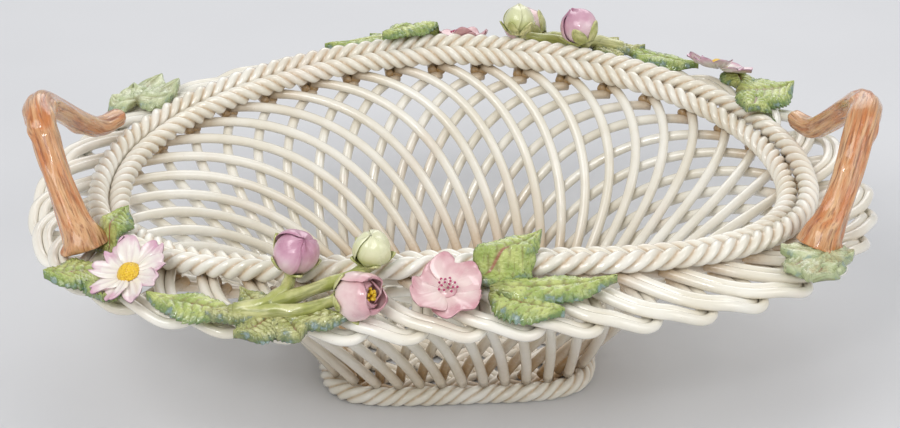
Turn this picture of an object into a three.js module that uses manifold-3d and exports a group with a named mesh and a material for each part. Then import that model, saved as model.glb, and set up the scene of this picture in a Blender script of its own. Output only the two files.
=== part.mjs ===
// A reticulated porcelain basket: an oval bowl of crossing clay strands on a roped foot, with a
// looped border, a pair of twisted ropes on its rim, two twig handles and applied flowers.
// Millimetres, +Z up, +X along the length. The basket rests on z = 0 and is centred on x = y = 0.
import * as THREE from "three";
import { mergeVertices } from "three/addons/utils/BufferGeometryUtils.js";
import Module from "manifold-3d";

const wasm = await Module();
wasm.setup();

// Rim: the oval seam between the two ropes, whose ends lie lower than its long sides
const rimHalfLength = 118;
const rimHalfWidth = 84;
const rimHeight = 83.5;
const rimDroop = 14;
const rimPower = 2.25;
const droopPower = 1.5;
const ropeDiameter = 6.8;
const ropeStep = 2.1;
const ropeSides = 8;
const ropeStations = 64;

// Foot: a rope round a flat woven mat
const footHalfLength = 45.5;
const footHalfWidth = 40;
const footPower = 5;
const footRopeDiameter = 6.4;
const footStations = 44;
const matThickness = 4;
const matHolePitch = 15;
const matHoleShare = 0.46;
const matEdgeShare = 0.86;

// Wall: two layers of strands that lean opposite ways
const strandDiameter = 3.6;
const strandCount = 40;
const strandSteps = 6;
const innerTurnPitches = 5;
const outerTurnPitches = 4.2;
const wallFlarePower = 1.8;
const wallTopShare = 0.95;
const climbStep = 0.01;
const squareShare = 0.92;
const fitGap = 0.3;
const wallInset = 0.9;

// Border: strands in pairs, each pair bent into one loop outside the ropes
const borderReach = 27;
const borderEdgeDrop = 15;
const borderEdgeDroop = 8;
const loopCount = 40;
const loopStrandDiameter = 3.4;
const levelGap = 1.4;
const stripWidth = 2.4;

// Twig handles
const twigDiameter = 9.6;
const twigRise = 33.5;
const twigSpan = 96;
const twigFootOut = 15.5;
const rightTwigShift = -14;
const twigSides = 8;

// Flowers and leaves
const leafThickness = 1.6;
const leafClearance = 0.7;
const leafFold = 1.1;
const daisyRadius = 12.5;
const daisyHeartRadius = 3.9;
const daisyHeartRise = 2.6;
const roseRadius = 11.2;
const roseHeartRadius = 3.4;
const roseHeartRise = 2.2;
const petalThickness = 1.4;
const petalLift = 2.4;
const rosebudRadius = 7;
const rosebudLength = 13.5;
const pinkBudRadius = 6.8;
const greenBudRadius = 5.6;
const budBaseRadius = 2.6;
const stemDiameter = 4.4;

const sideNames = [
  "right", "back_right", "back", "back_left", "left", "front_left", "front", "front_right",
];
const fullTurn = 2 * Math.PI;
const straightUp = new THREE.Vector3(0, 0, 1);
const basket = new THREE.Group();

// Glaze colours
const glazes = {
  cream: { color: 0xe6dcc6, roughness: 0.22, metalness: 0 },
  creamShade: { color: 0xdccfb4, roughness: 0.25, metalness: 0 },
  bark: { color: 0xb9713f, roughness: 0.3, metalness: 0 },
  leaf: { color: 0x9fb06a, roughness: 0.28, metalness: 0 },
  pinkPetal: { color: 0xdca3ab, roughness: 0.3, metalness: 0 },
  whitePetal: { color: 0xeee2dc, roughness: 0.28, metalness: 0 },
  heart: { color: 0xe0a52c, roughness: 0.4, metalness: 0 },
  magenta: { color: 0xb8577c, roughness: 0.4, metalness: 0 },
  paleBud: { color: 0xd3d6a6, roughness: 0.28, metalness: 0 },
};

// Adds one named piece in its glaze
function addPiece(name, glaze, geometry, parent = basket) {
  const piece = new THREE.Mesh(geometry, new THREE.MeshStandardMaterial(glazes[glaze]));
  piece.name = name;
  parent.add(piece);
  return piece;
}

// A superellipse sampled once, so that a share of its length gives a place on it. Share 0 is the
// +X end, and shares grow anticlockwise seen from above.
function makeOval(halfLength, halfWidth, power) {
  const stops = 1440;
  const places = [];
  const lengths = [0];
  for (let i = 0; i <= stops; i += 1) {
    const angle = (fullTurn * i) / stops;
    const x = halfLength * Math.sign(Math.cos(angle)) * Math.abs(Math.cos(angle)) ** (2 / power);
    const y = halfWidth * Math.sign(Math.sin(angle)) * Math.abs(Math.sin(angle)) ** (2 / power);
    places.push(new THREE.Vector2(x, y));
    if (i > 0) lengths.push(lengths[i - 1] + places[i].distanceTo(places[i - 1]));
  }
  const total = lengths[stops];
  function at(share) {
    const wanted = (share - Math.floor(share)) * total;
    let low = 0;
    let high = stops;
    while (high - low > 1) {
      const middle = (low + high) >> 1;
      if (lengths[middle] <= wanted) low = middle;
      else high = middle;
    }
    const part = (wanted - lengths[low]) / (lengths[high] - lengths[low]);
    return places[low].clone().lerp(places[high], part);
  }
  function outward(share) {
    const spread = 0.012;
    const run = at(share + spread).sub(at(share - spread));
    return new THREE.Vector2(run.y, -run.x).normalize();
  }
  return { at, outward, total };
}

const rimOval = makeOval(rimHalfLength, rimHalfWidth, rimPower);
const footOval = makeOval(footHalfLength, footHalfWidth, footPower);
const footRopeRadius = footRopeDiameter / 2;
const wallFootOval = makeOval(
  footHalfLength - footRopeRadius - wallInset,
  footHalfWidth - footRopeRadius - wallInset,
  footPower,
);

// How far the rim droops at a share: 0 at the middle of the long sides, 1 at the ends
function droopAt(share) {
  return Math.abs(rimOval.at(share).x / rimHalfLength) ** droopPower;
}

// Top of the ropes at a share of the rim
function rimTop(share) {
  return rimHeight - rimDroop * droopAt(share);
}

// A place beside the rim: a share along it, a distance outward from the seam, and a height
function besideRim(share, out, height) {
  const place = rimOval.at(share).addScaledVector(rimOval.outward(share), out);
  return new THREE.Vector3(place.x, place.y, height);
}

// Turns rings of equal count into one closed solid, either end to end or round and round
function loft(rings, closed = false) {
  const sides = rings[0].length;
  const vertices = rings.flat().flatMap((p) => [p.x, p.y, p.z]);
  const faces = [];
  const last = closed ? rings.length : rings.length - 1;
  for (let i = 0; i < last; i += 1) {
    const here = i * sides;
    const next = ((i + 1) % rings.length) * sides;
    for (let j = 0; j < sides; j += 1) {
      const k = (j + 1) % sides;
      faces.push(here + j, here + k, next + k, here + j, next + k, next + j);
    }
  }
  if (!closed) {
    const end = (rings.length - 1) * sides;
    for (let j = 1; j < sides - 1; j += 1) {
      faces.push(0, j + 1, j, end, end + j, end + j + 1);
    }
  }
  return facingOut(vertices, faces);
}

// The signed volume of a closed surface says whether its faces point outward
function facingOut(vertices, faces) {
  const corner = (i) => new THREE.Vector3().fromArray(vertices, 3 * faces[i]);
  let volume = 0;
  for (let i = 0; i < faces.length; i += 3) {
    volume += corner(i).dot(corner(i + 1).cross(corner(i + 2)));
  }
  if (volume < 0) faces.reverse();
  const geometry = new THREE.BufferGeometry();
  geometry.setAttribute("position", new THREE.Float32BufferAttribute(vertices, 3));
  geometry.setIndex(faces);
  return geometry;
}

// A ring of section points round a centre, square to the run of the piece
function ringAt(centre, run, lift, section) {
  const across = new THREE.Vector3().crossVectors(run, lift).normalize();
  const up = new THREE.Vector3().crossVectors(across, run).normalize();
  return section.map(([a, b]) =>
    centre.clone().addScaledVector(across, a).addScaledVector(up, b),
  );
}

// Sweeps a section along centres, each with its own lift direction and its own width factor
function sweep(centres, lifts, section, widths = null, closed = false) {
  const count = centres.length;
  const rings = centres.map((centre, i) => {
    const before = closed ? centres[(i + count - 1) % count] : centres[Math.max(i - 1, 0)];
    const after = closed ? centres[(i + 1) % count] : centres[Math.min(i + 1, count - 1)];
    const run = after.clone().sub(before).normalize();
    const factor = widths ? widths[i] : 1;
    const sized = section.map(([a, b]) => [a * factor, b * factor]);
    return ringAt(centre, run, lifts[i], sized);
  });
  return loft(rings, closed);
}

// A round section of a given diameter, turned so that one side faces down
function roundSection(diameter, sides) {
  return Array.from({ length: sides }, (_, i) => {
    const angle = (fullTurn * (i + 1 / 2)) / sides - Math.PI / 2;
    return [(diameter / 2) * Math.cos(angle), (diameter / 2) * Math.sin(angle)];
  });
}

function boxSection(width, height) {
  return [[-width / 2, -height / 2], [width / 2, -height / 2], [width / 2, height / 2], [-width / 2, height / 2]];
}

function solidOf(geometry) {
  const bare = geometry.clone();
  bare.deleteAttribute("normal");
  bare.deleteAttribute("uv");
  const merged = mergeVertices(bare);
  return new wasm.Manifold(
    new wasm.Mesh({
      numProp: 3,
      vertProperties: merged.attributes.position.array,
      triVerts: new Uint32Array(merged.index.array),
    }),
  );
}

function geometryOf(solid) {
  const mesh = solid.getMesh();
  const geometry = new THREE.BufferGeometry();
  geometry.setAttribute("position", new THREE.BufferAttribute(mesh.vertProperties, 3));
  geometry.setIndex(new THREE.BufferAttribute(mesh.triVerts, 1));
  return geometry;
}

// Joins solids that touch into one body
function join(geometries) {
  return geometryOf(geometries.map(solidOf).reduce((whole, piece) => whole.add(piece)));
}

// Foot rope: a ring with a flat underside
function buildFootRope() {
  const lift = (footRopeDiameter / 2) * Math.cos(Math.PI / ropeSides);
  const centres = Array.from({ length: footStations }, (_, i) => {
    const place = footOval.at(i / footStations);
    return new THREE.Vector3(place.x, place.y, lift);
  });
  const section = roundSection(footRopeDiameter, ropeSides);
  const ring = sweep(centres, centres.map(() => straightUp), section, null, true);
  addPiece("foot_rope", "cream", ring);
}

// Base mat: a flat oval sheet with a diamond opening in each mesh of its weave
function buildBaseMat() {
  const rimInset = footRopeDiameter / 2 + fitGap;
  const edge = makeOval(footHalfLength - rimInset, footHalfWidth - rimInset, footPower);
  const outline = Array.from({ length: footStations }, (_, i) => edge.at(i / footStations));
  const sheet = new THREE.Shape(outline);
  const half = matHolePitch / 2;
  const reach = half * matHoleShare;
  const columns = Math.ceil(footHalfLength / half);
  for (let i = -columns; i <= columns; i += 1) {
    for (let j = -columns; j <= columns; j += 1) {
      const x = i * half;
      const y = j * half;
      const far = Math.abs(x / footHalfLength) ** footPower + Math.abs(y / footHalfWidth) ** footPower;
      if ((i + j) % 2 === 0 || far ** (1 / footPower) > matEdgeShare - reach / footHalfWidth) continue;
      const corners = [[x + reach, y], [x, y + reach], [x - reach, y], [x, y - reach]];
      sheet.holes.push(new THREE.Path(corners.map(([a, b]) => new THREE.Vector2(a, b))));
    }
  }
  const mat = new THREE.ExtrudeGeometry(sheet, { depth: matThickness, bevelEnabled: false });
  addPiece("base_mat", "creamShade", geometryOf(solidOf(mat)));
}

// Middle surface of the wall, between its two layers: climb 0 at the foot, 1 under the ropes
function wallMiddle(share, climb) {
  const foot = wallFootOval.at(share);
  const rim = rimOval.at(share);
  const place = foot.lerp(rim, climb);
  const low = matThickness + fitGap;
  const high = rimTop(share) - ropeDiameter - ropeStep - fitGap - strandDiameter - fitGap / 2;
  const rise = 1 - (1 - climb) ** wallFlarePower;
  return new THREE.Vector3(place.x, place.y, low + (high - low) * rise);
}

// Direction square to the wall, pointing into the bowl
function wallInward(share, climb) {
  const along = wallMiddle(share + climbStep, climb).sub(wallMiddle(share - climbStep, climb));
  const low = Math.max(climb - climbStep, 0);
  const high = Math.min(climb + climbStep, 1);
  const upward = wallMiddle(share, high).sub(wallMiddle(share, low));
  return upward.cross(along).normalize();
}

// Centre line of one strand: lean is +1 for the inner layer and -1 for the outer one
function strandPlace(index, climb, lean) {
  const turnPitches = lean > 0 ? innerTurnPitches : outerTurnPitches;
  const turn = (turnPitches / strandCount) * (1 - climb);
  const share = index / strandCount - lean * turn;
  const inward = wallInward(share, climb);
  const offset = (lean * (strandDiameter + fitGap)) / 2;
  return { centre: wallMiddle(share, climb).addScaledVector(inward, offset), inward };
}

// The climb at which a strand reaches a height
function climbAtHeight(index, lean, height) {
  let low = 0;
  let high = 1;
  while (high - low > 1e-4) {
    const middle = (low + high) / 2;
    if (strandPlace(index, middle, lean).centre.z < height) low = middle;
    else high = middle;
  }
  return high;
}

// Joins the roots of neighbouring strands to one short band, as a comb joins its teeth. Roots and
// crests hold four vertex numbers each, and each root's strand leaves through the band's open side.
function addBand(faces, roots, crests, mirrored) {
  const add = (corners) => {
    const [a, b, c, d] = mirrored ? [...corners].reverse() : corners;
    faces.push(a, b, c, a, c, d);
  };
  roots.forEach((root, i) => {
    const crest = crests[i];
    add(crest);
    add([root[2], root[3], crest[3], crest[2]]);
    add([root[0], root[1], crest[1], crest[0]]);
    if (i + 1 === roots.length) return;
    const [nextRoot, nextCrest] = [roots[i + 1], crests[i + 1]];
    add([crest[1], nextCrest[0], nextCrest[3], crest[2]]);
    add([root[2], nextRoot[3], nextRoot[0], root[1]]);
    add([nextRoot[3], root[2], crest[2], nextCrest[3]]);
    add([root[1], nextRoot[0], nextCrest[0], crest[1]]);
  });
  const [first, last] = [0, roots.length - 1];
  add([roots[first][0], crests[first][0], crests[first][3], roots[first][3]]);
  add([roots[last][1], roots[last][2], crests[last][2], crests[last][1]]);
}

// Strands that share a band at their roots, and a second band at their far ends if these have
// crests too. Each strand is { rings, crest, farCrest }, and they are listed from left to right.
function comb(strands) {
  const vertices = [];
  const faces = [];
  const store = (ring) => ring.map((p) => vertices.push(p.x, p.y, p.z) / 3 - 1);
  const numbered = strands.map(({ rings, crest, farCrest }) => ({
    rings: rings.map(store),
    crest: store(crest),
    farCrest: farCrest ? store(farCrest) : null,
  }));
  for (const { rings, farCrest } of numbered) {
    for (let i = 0; i + 1 < rings.length; i += 1) {
      const [here, next] = [rings[i], rings[i + 1]];
      here.forEach((corner, j) => {
        const k = (j + 1) % here.length;
        faces.push(next[j], next[k], here[k], next[j], here[k], corner);
      });
    }
    if (farCrest) continue;
    const [a, b, c, d] = rings[rings.length - 1];
    faces.push(d, c, b, d, b, a);
  }
  addBand(faces, numbered.map((s) => s.rings[0]), numbered.map((s) => s.crest), false);
  if (numbered[0].farCrest) {
    const farRoots = numbered.map((s) => s.rings[s.rings.length - 1]).reverse();
    addBand(faces, farRoots, numbered.map((s) => s.farCrest).reverse(), true);
  }
  return facingOut(vertices, faces);
}

// Rings of a strand along its stops; the first and the last can be given a run of their own
function strandRings(stops, section, firstRun = null, lastRun = null) {
  return stops.map(({ centre, inward }, i) => {
    const before = stops[Math.max(i - 1, 0)].centre;
    const after = stops[Math.min(i + 1, stops.length - 1)].centre;
    let run = after.clone().sub(before).normalize();
    if (i === 0 && firstRun) run = firstRun;
    if (i === stops.length - 1 && lastRun) run = lastRun;
    return ringAt(centre, run, inward, section);
  });
}

// One strand from the rim to the foot. Inner strands stand on the mat, outer ones on the rope.
function buildStrand(index, lean) {
  const restsOn = lean > 0 ? matThickness : footRopeDiameter * Math.cos(Math.PI / ropeSides);
  const bottom = climbAtHeight(index, lean, restsOn + fitGap + strandDiameter / 2);
  const stops = Array.from({ length: strandSteps + 1 }, (_, i) => {
    const climb = wallTopShare + (bottom - wallTopShare) * (i / strandSteps);
    return strandPlace(index, climb, lean);
  });
  const share = index / strandCount;
  const downhill = wallMiddle(share, wallTopShare - climbStep).sub(wallMiddle(share, wallTopShare));
  downhill.normalize();
  const section = boxSection(strandDiameter * squareShare, strandDiameter * squareShare);
  const rings = strandRings(stops, section, downhill);
  const crest = rings[0].map((p) => p.clone().addScaledVector(downhill, -stripWidth));
  return { rings, crest };
}

// Wall: each layer in eight bundles of strands
function buildWall() {
  for (const [layer, lean] of [["outer", -1], ["inner", 1]]) {
    sideNames.forEach((side, i) => {
      const bundle = strandCount / sideNames.length;
      const first = Math.round((i - 1 / 2) * bundle);
      const last = Math.round((i + 1 / 2) * bundle) - 1;
      const strands = [];
      for (let index = first; index <= last; index += 1) strands.push(buildStrand(index, lean));
      addPiece(`lattice_${layer}_${side}`, layer === "inner" ? "cream" : "creamShade", comb(strands));
    });
  }
}

// Heights of the border's two levels: strands going out lie on strands coming back
function borderHeight(share, outShare, levelShare) {
  const spacing = loopStrandDiameter + levelGap;
  const atRope = rimTop(share) - ropeDiameter - fitGap - loopStrandDiameter / 2 - spacing;
  const edgeHeight = rimHeight - borderEdgeDrop - borderEdgeDroop * droopAt(share);
  const atEdge = edgeHeight - spacing / 2;
  return atRope + (atEdge - atRope) * outShare ** 2 + spacing * levelShare;
}

// One loop's route as shares: along in pitches, out of the reach, and level
const loopRouteShares = [
  [0, 0.17, 1],
  [0.3, 0.39, 1],
  [0.65, 0.61, 1],
  [1.05, 0.8, 1],
  [1.42, 0.92, 0.85],
  [1.74, 0.99, 0.35],
  [1.96, 0.96, 0],
  [2.06, 0.76, 0],
  [2.08, 0.46, 0],
  [2.09, 0.17, 0],
];

function borderPlace(along, outShare, levelShare) {
  const share = along / loopCount;
  const out = (borderReach - loopStrandDiameter) * outShare;
  return besideRim(share, out, borderHeight(share, outShare, levelShare));
}

// One loop: two strands side by side, swept together as one flat pair
function buildLoop(index) {
  const stops = loopRouteShares.map(([along, out, level]) => ({
    centre: borderPlace(index + along, out, level),
    inward: straightUp,
  }));
  const outwardAt = (along) => {
    const away = rimOval.outward((index + along) / loopCount);
    return new THREE.Vector3(away.x, away.y, 0);
  };
  const [leave, arrive] = [outwardAt(0), outwardAt(loopRouteShares[loopRouteShares.length - 1][0])];
  const pair = boxSection(2 * loopStrandDiameter * squareShare, loopStrandDiameter * squareShare);
  const rings = strandRings(stops, pair, leave, arrive.clone().negate());
  const crest = rings[0].map((p) => p.clone().addScaledVector(leave, -stripWidth));
  const farCrest = rings[rings.length - 1].map((p) => p.clone().addScaledVector(arrive, -stripWidth));
  return { rings, crest, farCrest };
}

// Border: eight sectors of loops that pass over and under each other
function buildBorder() {
  const perSector = loopCount / sideNames.length;
  sideNames.forEach((side, i) => {
    const first = Math.round((i - 1 / 2) * perSector - 1);
    const last = first + perSector - 1;
    const loops = [];
    for (let index = last; index >= first; index -= 1) loops.push(buildLoop(index));
    addPiece(`border_${side}`, "cream", comb(loops));
  });
}

// Rim ropes: two rings side by side over the seam, the inner one a step lower
function buildRimRopes() {
  for (const [name, side] of [["rim_rope_inner", -1], ["rim_rope_outer", 1]]) {
    const out = (side * (ropeDiameter + fitGap)) / 2;
    const centres = Array.from({ length: ropeStations }, (_, i) => {
      const share = i / ropeStations;
      const step = side < 0 ? ropeStep : 0;
      return besideRim(share, out, rimTop(share) - ropeDiameter / 2 - step);
    });
    const section = roundSection(ropeDiameter, ropeSides);
    const ring = sweep(centres, centres.map(() => straightUp), section, null, true);
    addPiece(name, "cream", ring);
  }
}

// Height on which a leaf rests: the ropes' tops, then a slope down to the border's top
function restHeight(share, out) {
  const shoulder = ropeDiameter - fitGap;
  const valley = ropeDiameter + stripWidth;
  const outShare = out / borderReach;
  const border = borderHeight(share, Math.max(outShare, 0), 1) + loopStrandDiameter / 2;
  const slope = THREE.MathUtils.smoothstep(out, shoulder, valley);
  return rimTop(share) * (1 - slope) + border * slope;
}

// Half widths of a leaf along its length, as shares of its half width
const leafOutlineShares = [0.2, 0.72, 1, 0.9, 0.55, 0.08];

// A leaf laid over ropes and border: base and tip are given beside the rim, in shares of the
// border's reach, and the lift in leaf thicknesses
function buildLeaf(share, [outShare, alongShare, tipShare, widthShare, liftShare]) {
  const out = outShare * borderReach;
  const width = widthShare * borderReach;
  const lift = liftShare * leafThickness;
  const stations = leafOutlineShares.length;
  const run = new THREE.Vector2(alongShare, tipShare - outShare).multiplyScalar(borderReach);
  const across = new THREE.Vector2(-run.y, run.x).normalize();
  const rings = leafOutlineShares.map((outlineShare, i) => {
    const part = i / (stations - 1);
    const place = (side, layer) => {
      const offset = (width / 2) * outlineShare * side;
      const along = run.x * part + across.x * offset;
      const outAt = out + run.y * part + across.y * offset;
      const shareAt = share + along / rimOval.total;
      const fold = leafFold * (1 - Math.abs(side));
      const base = restHeight(shareAt, outAt) + leafClearance + lift + fold;
      return besideRim(shareAt, outAt, base + layer * leafThickness);
    };
    return [place(-1, 0), place(0, 0), place(1, 0), place(1, 1), place(0, 1), place(-1, 1)];
  });
  return loft(rings);
}

// A frame that stands beside the rim; local +Z is the flower's own axis. It leans outward, and
// along the rim by its sweep. Out is a share of the border's reach, and up one of the rope.
function flowerSeat(share, outShare, upShare, lean, sweep = 0) {
  const seat = new THREE.Group();
  seat.position.copy(besideRim(share, outShare * borderReach, rimTop(share) + upShare * ropeDiameter));
  const away = rimOval.outward(share);
  const axis = new THREE.Vector3(away.x * Math.sin(lean), away.y * Math.sin(lean), Math.cos(lean));
  const side = new THREE.Vector3(-away.y, away.x, 0);
  const front = new THREE.Vector3().crossVectors(axis, side);
  axis.multiplyScalar(Math.cos(sweep)).addScaledVector(side, Math.sin(sweep));
  side.crossVectors(front, axis);
  seat.quaternion.setFromRotationMatrix(new THREE.Matrix4().makeBasis(side, front, axis));
  return seat;
}

// Petals round a flower as one cupped solid: petal count, radius, hub share and tip roundness
function buildPetals(petals, radius, hubShare, notchShare) {
  const perPetal = 4;
  const around = petals * perPetal;
  const rings = [];
  const radiusAt = (i) => {
    const phase = ((i % perPetal) / perPetal) * 2 - 1;
    return radius * (1 - (1 - notchShare) * Math.abs(phase) ** 3);
  };
  const ringOf = (share, layer) =>
    Array.from({ length: around }, (_, i) => {
      const angle = (fullTurn * i) / around;
      const reach = hubShare * radius + (radiusAt(i) - hubShare * radius) * share;
      const lift = petalLift * (reach / radius) ** 2 + layer * petalThickness;
      return new THREE.Vector3(reach * Math.cos(angle), reach * Math.sin(angle), lift);
    });
  rings.push(ringOf(0, 0), ringOf(1, 0), ringOf(1, 1), ringOf(0, 1));
  return loft(rings);
}

// A domed boss, flat below, that fills the flower's middle
function buildHeart(radius, rise) {
  const profile = [[0, 0], [1, 0], [0.92, 0.5], [0.6, 0.9], [0, 1]];
  const points = profile.map(([r, z]) => new THREE.Vector2(r * radius, z * rise));
  const dome = new THREE.LatheGeometry(points, 10);
  dome.rotateX(Math.PI / 2);
  return geometryOf(solidOf(dome));
}

// A bud: a rounded body on a narrow base, as one turned solid
function buildBud(radius, length, baseRadius) {
  const profileShares = [[0.6, 0.12], [1, 0.45], [0.86, 0.75], [0.4, 0.96]];
  const points = [
    new THREE.Vector2(0, 0),
    new THREE.Vector2(baseRadius, 0),
    ...profileShares.map(([r, z]) => new THREE.Vector2(r * radius, z * length)),
    new THREE.Vector2(0, length),
  ];
  const body = new THREE.LatheGeometry(points, 10);
  body.rotateX(Math.PI / 2);
  return geometryOf(solidOf(body));
}

// The three stems of a sprig: share of the rim, out as a share of the border's reach and up as a
// share of the rope's diameter, at the fork, half way and at the end
const stemRouteShares = [
  [[0.668, 0.889, -0.5], [0.67, 0.63, -0.4], [0.671, 0.385, -0.24]],
  [[0.668, 0.889, -0.5], [0.687, 0.6, -0.4], [0.7045, 0.385, -0.1]],
  [[0.668, 0.889, -0.5], [0.681, 0.8, -0.58], [0.6915, 0.66, -0.68]],
];

// Stems of one sprig: they fork from one place and end under the buds
function buildSprig(turn) {
  const section = roundSection(stemDiameter, 6);
  const stems = stemRouteShares.map((route) => {
    const centres = route.map(([place, outShare, upShare]) => {
      const share = place + turn;
      return besideRim(share, outShare * borderReach, rimTop(share) + upShare * ropeDiameter);
    });
    return sweep(centres, centres.map(() => straightUp), section, [1, 1, 0.8]);
  });
  return join(stems);
}

// Blades of each leaf of a cluster: share of the rim, then out, along to the tip, out of the tip
// and width as shares of the border's reach, and lift in leaf thicknesses
const leafShares = {
  leaf_far_left: [[0.586, [0.741, -0.296, 1.296, 0.63, 0.14]]],
  leaf_on_rope: [[0.57, [0.389, -0.389, -0.111, 0.537, 0.5]]],
  leaf_middle: [[0.65, [0.907, -0.889, 0.926, 0.519, 0]]],
  sprig_leaf: [
    [0.668, [0.889, -0.296, 1.296, 0.481, 0]],
    [0.668, [0.889, 0.333, 1.259, 0.481, 0]],
    [0.667, [0.833, -0.481, 0.556, 0.407, 0]],
  ],
  leaf_spray: [
    [0.7575, [0.56, 0.62, 1, 0.55, 0]],
    [0.757, [0.444, 0.63, -0.148, 0.593, 1.187]],
    [0.7565, [0.52, 1.33, 0.5, 0.55, 1.1]],
  ],
};

// The fan of leaves that covers a handle's foot
const fanShares = [
  [0.412, [0.778, -0.519, 0.741, 0.481, 0.1]],
  [0.4142, [0.77, 0.12, 1.23, 0.44, 0.05]],
  [0.4128, [0.8, -0.29, 1.19, 0.44, 0.15]],
];

// One leaf node from its blades
function buildLeaves(name, blades, turn) {
  const solids = blades.map(([share, shares]) => buildLeaf(share + turn, shares));
  addPiece(name, "leaf", solids.length > 1 ? join(solids) : solids[0]);
}

// One cluster of flowers and leaves; turn is 0 for the front and 1/2 for the back
function buildCluster(name, turn) {
  for (const [leaf, blades] of Object.entries(leafShares)) buildLeaves(`${name}_${leaf}`, blades, turn);
  addPiece(`${name}_sprig_stems`, "leaf", buildSprig(turn));

  const daisy = flowerSeat(0.601 + turn, 0.759, -0.22, 0.45);
  addPiece(`${name}_daisy_petals`, "whitePetal", buildPetals(10, daisyRadius, 0.2, 0.55), daisy);
  const daisyHeart = addPiece(`${name}_daisy_heart`, "heart", buildHeart(daisyHeartRadius, daisyHeartRise), daisy);
  daisyHeart.position.z = petalThickness + petalLift * (daisyHeartRadius / daisyRadius) ** 2 + fitGap;

  const rose = flowerSeat(0.738 + turn, 0.55, -1.02, 0.45);
  addPiece(`${name}_rose_petals`, "pinkPetal", buildPetals(5, roseRadius, 0.2, 0.72), rose);
  const roseHeart = addPiece(`${name}_rose_heart`, "magenta", buildHeart(roseHeartRadius, roseHeartRise), rose);
  roseHeart.position.z = petalThickness + petalLift * (roseHeartRadius / roseRadius) ** 2 + fitGap;

  const rosebud = flowerSeat(0.6936 + turn, 0.678, -0.6, 0.9, 1);
  addPiece(`${name}_rosebud`, "pinkPetal", buildBud(rosebudRadius, rosebudLength, budBaseRadius), rosebud);
  const pinkBud = flowerSeat(0.667 + turn, 0.241, 0.206, 0.4, 0.4);
  addPiece(`${name}_pink_bud`, "pinkPetal", buildBud(pinkBudRadius, 2 * pinkBudRadius, budBaseRadius), pinkBud);
  const greenBud = flowerSeat(0.705 + turn, 0.215, 0.162, 0.35);
  addPiece(`${name}_green_bud`, "paleBud", buildBud(greenBudRadius, 2 * greenBudRadius, budBaseRadius), greenBud);

  for (const seat of [daisy, rose, rosebud, pinkBud, greenBud]) basket.add(seat);
}

// A twig handle's route: along its span, out as a share of its foot's, up as a share of its rise,
// and its thickness as a share of the twig's. It starts at the front foot.
const twigRouteShares = [
  [-0.4, 0.95, 0, 1.4],
  [-0.365, 1, 0.1, 1.12],
  [-0.3, 1.08, 0.42, 0.98],
  [-0.215, 1.2, 0.78, 0.98],
  [-0.15, 1.27, 0.97, 1.06],
  [-0.07, 1.22, 0.97, 1],
  [0.06, 1.02, 0.7, 0.84],
  [0.2, 0.82, 0.34, 0.8],
  [0.31, 0.76, 0.12, 0.76],
  [0.44, 0.74, 0.06, 0.62],
];

// The twig's thickness share where its lower side meets the border
const twigGroundShare = 1.12;

// Left and right twig handles; side is the sign of x
function buildHandle(name, side, shift) {
  const centres = twigRouteShares.map(([along, outShare, up]) => {
    const middle = side > 0 ? 0 : 1 / 2;
    const share = middle + (side * (along * twigSpan + shift)) / rimOval.total;
    const foot = borderHeight(share, twigFootOut / borderReach, 1) + loopStrandDiameter / 2;
    const ground = foot + fitGap + (twigDiameter * twigGroundShare) / 2;
    return besideRim(share, twigFootOut * outShare, ground + twigRise * up);
  });
  const widths = twigRouteShares.map((stop) => stop[3]);
  const lifts = centres.map((centre) => new THREE.Vector3(centre.x, centre.y, 0).normalize());
  const section = roundSection(twigDiameter, twigSides);
  addPiece(name, "bark", sweep(centres, lifts, section, widths));
}

buildBaseMat();
buildFootRope();
buildWall();
buildBorder();
buildRimRopes();
buildHandle("handle_left", -1, 0);
buildHandle("handle_right", 1, rightTwigShift);
buildCluster("front", 0);
buildCluster("back", 1 / 2);
buildLeaves("left_handle_leaf", fanShares, 0);
buildLeaves("right_handle_leaf", fanShares, 1 / 2);

export default basket;
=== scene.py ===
"""A reticulated porcelain basket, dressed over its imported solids.

Sizes are in millimetres, and each mesh is scaled to metres when it is made. Shares run along the rim
from its +X end, anticlockwise seen from above. Every shape is a formula on a grid of stations along a
piece and stops across it.
"""
import logging
import math
from dataclasses import dataclass, field
from enum import Enum
from functools import partialmethod
from itertools import product

import bpy
import numpy as np
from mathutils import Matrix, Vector


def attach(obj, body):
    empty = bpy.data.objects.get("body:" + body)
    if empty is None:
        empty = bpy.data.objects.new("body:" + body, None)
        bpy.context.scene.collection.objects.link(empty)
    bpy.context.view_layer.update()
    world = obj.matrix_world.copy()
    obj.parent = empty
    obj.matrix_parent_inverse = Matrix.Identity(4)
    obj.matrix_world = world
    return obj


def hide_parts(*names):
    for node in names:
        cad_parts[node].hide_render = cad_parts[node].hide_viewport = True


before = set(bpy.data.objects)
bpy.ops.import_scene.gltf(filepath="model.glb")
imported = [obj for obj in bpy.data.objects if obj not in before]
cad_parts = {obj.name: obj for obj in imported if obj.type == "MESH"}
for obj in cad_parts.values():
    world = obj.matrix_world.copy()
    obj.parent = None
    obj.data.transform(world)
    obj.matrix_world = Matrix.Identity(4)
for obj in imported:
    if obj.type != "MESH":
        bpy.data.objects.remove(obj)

Array = np.ndarray
Colour = tuple[int, int, int]
Blade = tuple[float, ...]
Material = bpy.types.Material

LOG = logging.getLogger("basket")
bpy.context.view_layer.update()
METRES = 0.001
FULL_TURN = 2 * math.pi
GOLDEN_ANGLE = 2.39996
UP = np.array([0.0, 0.0, 1.0])
SIDES = ("right", "back_right", "back", "back_left", "left", "front_left", "front", "front_right")


# Surfaces


def unit(vectors: Array) -> Array:
    """Returns vectors of length one with the same directions."""
    return vectors / np.maximum(np.linalg.norm(vectors, axis=-1, keepdims=True), 1e-12)


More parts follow.
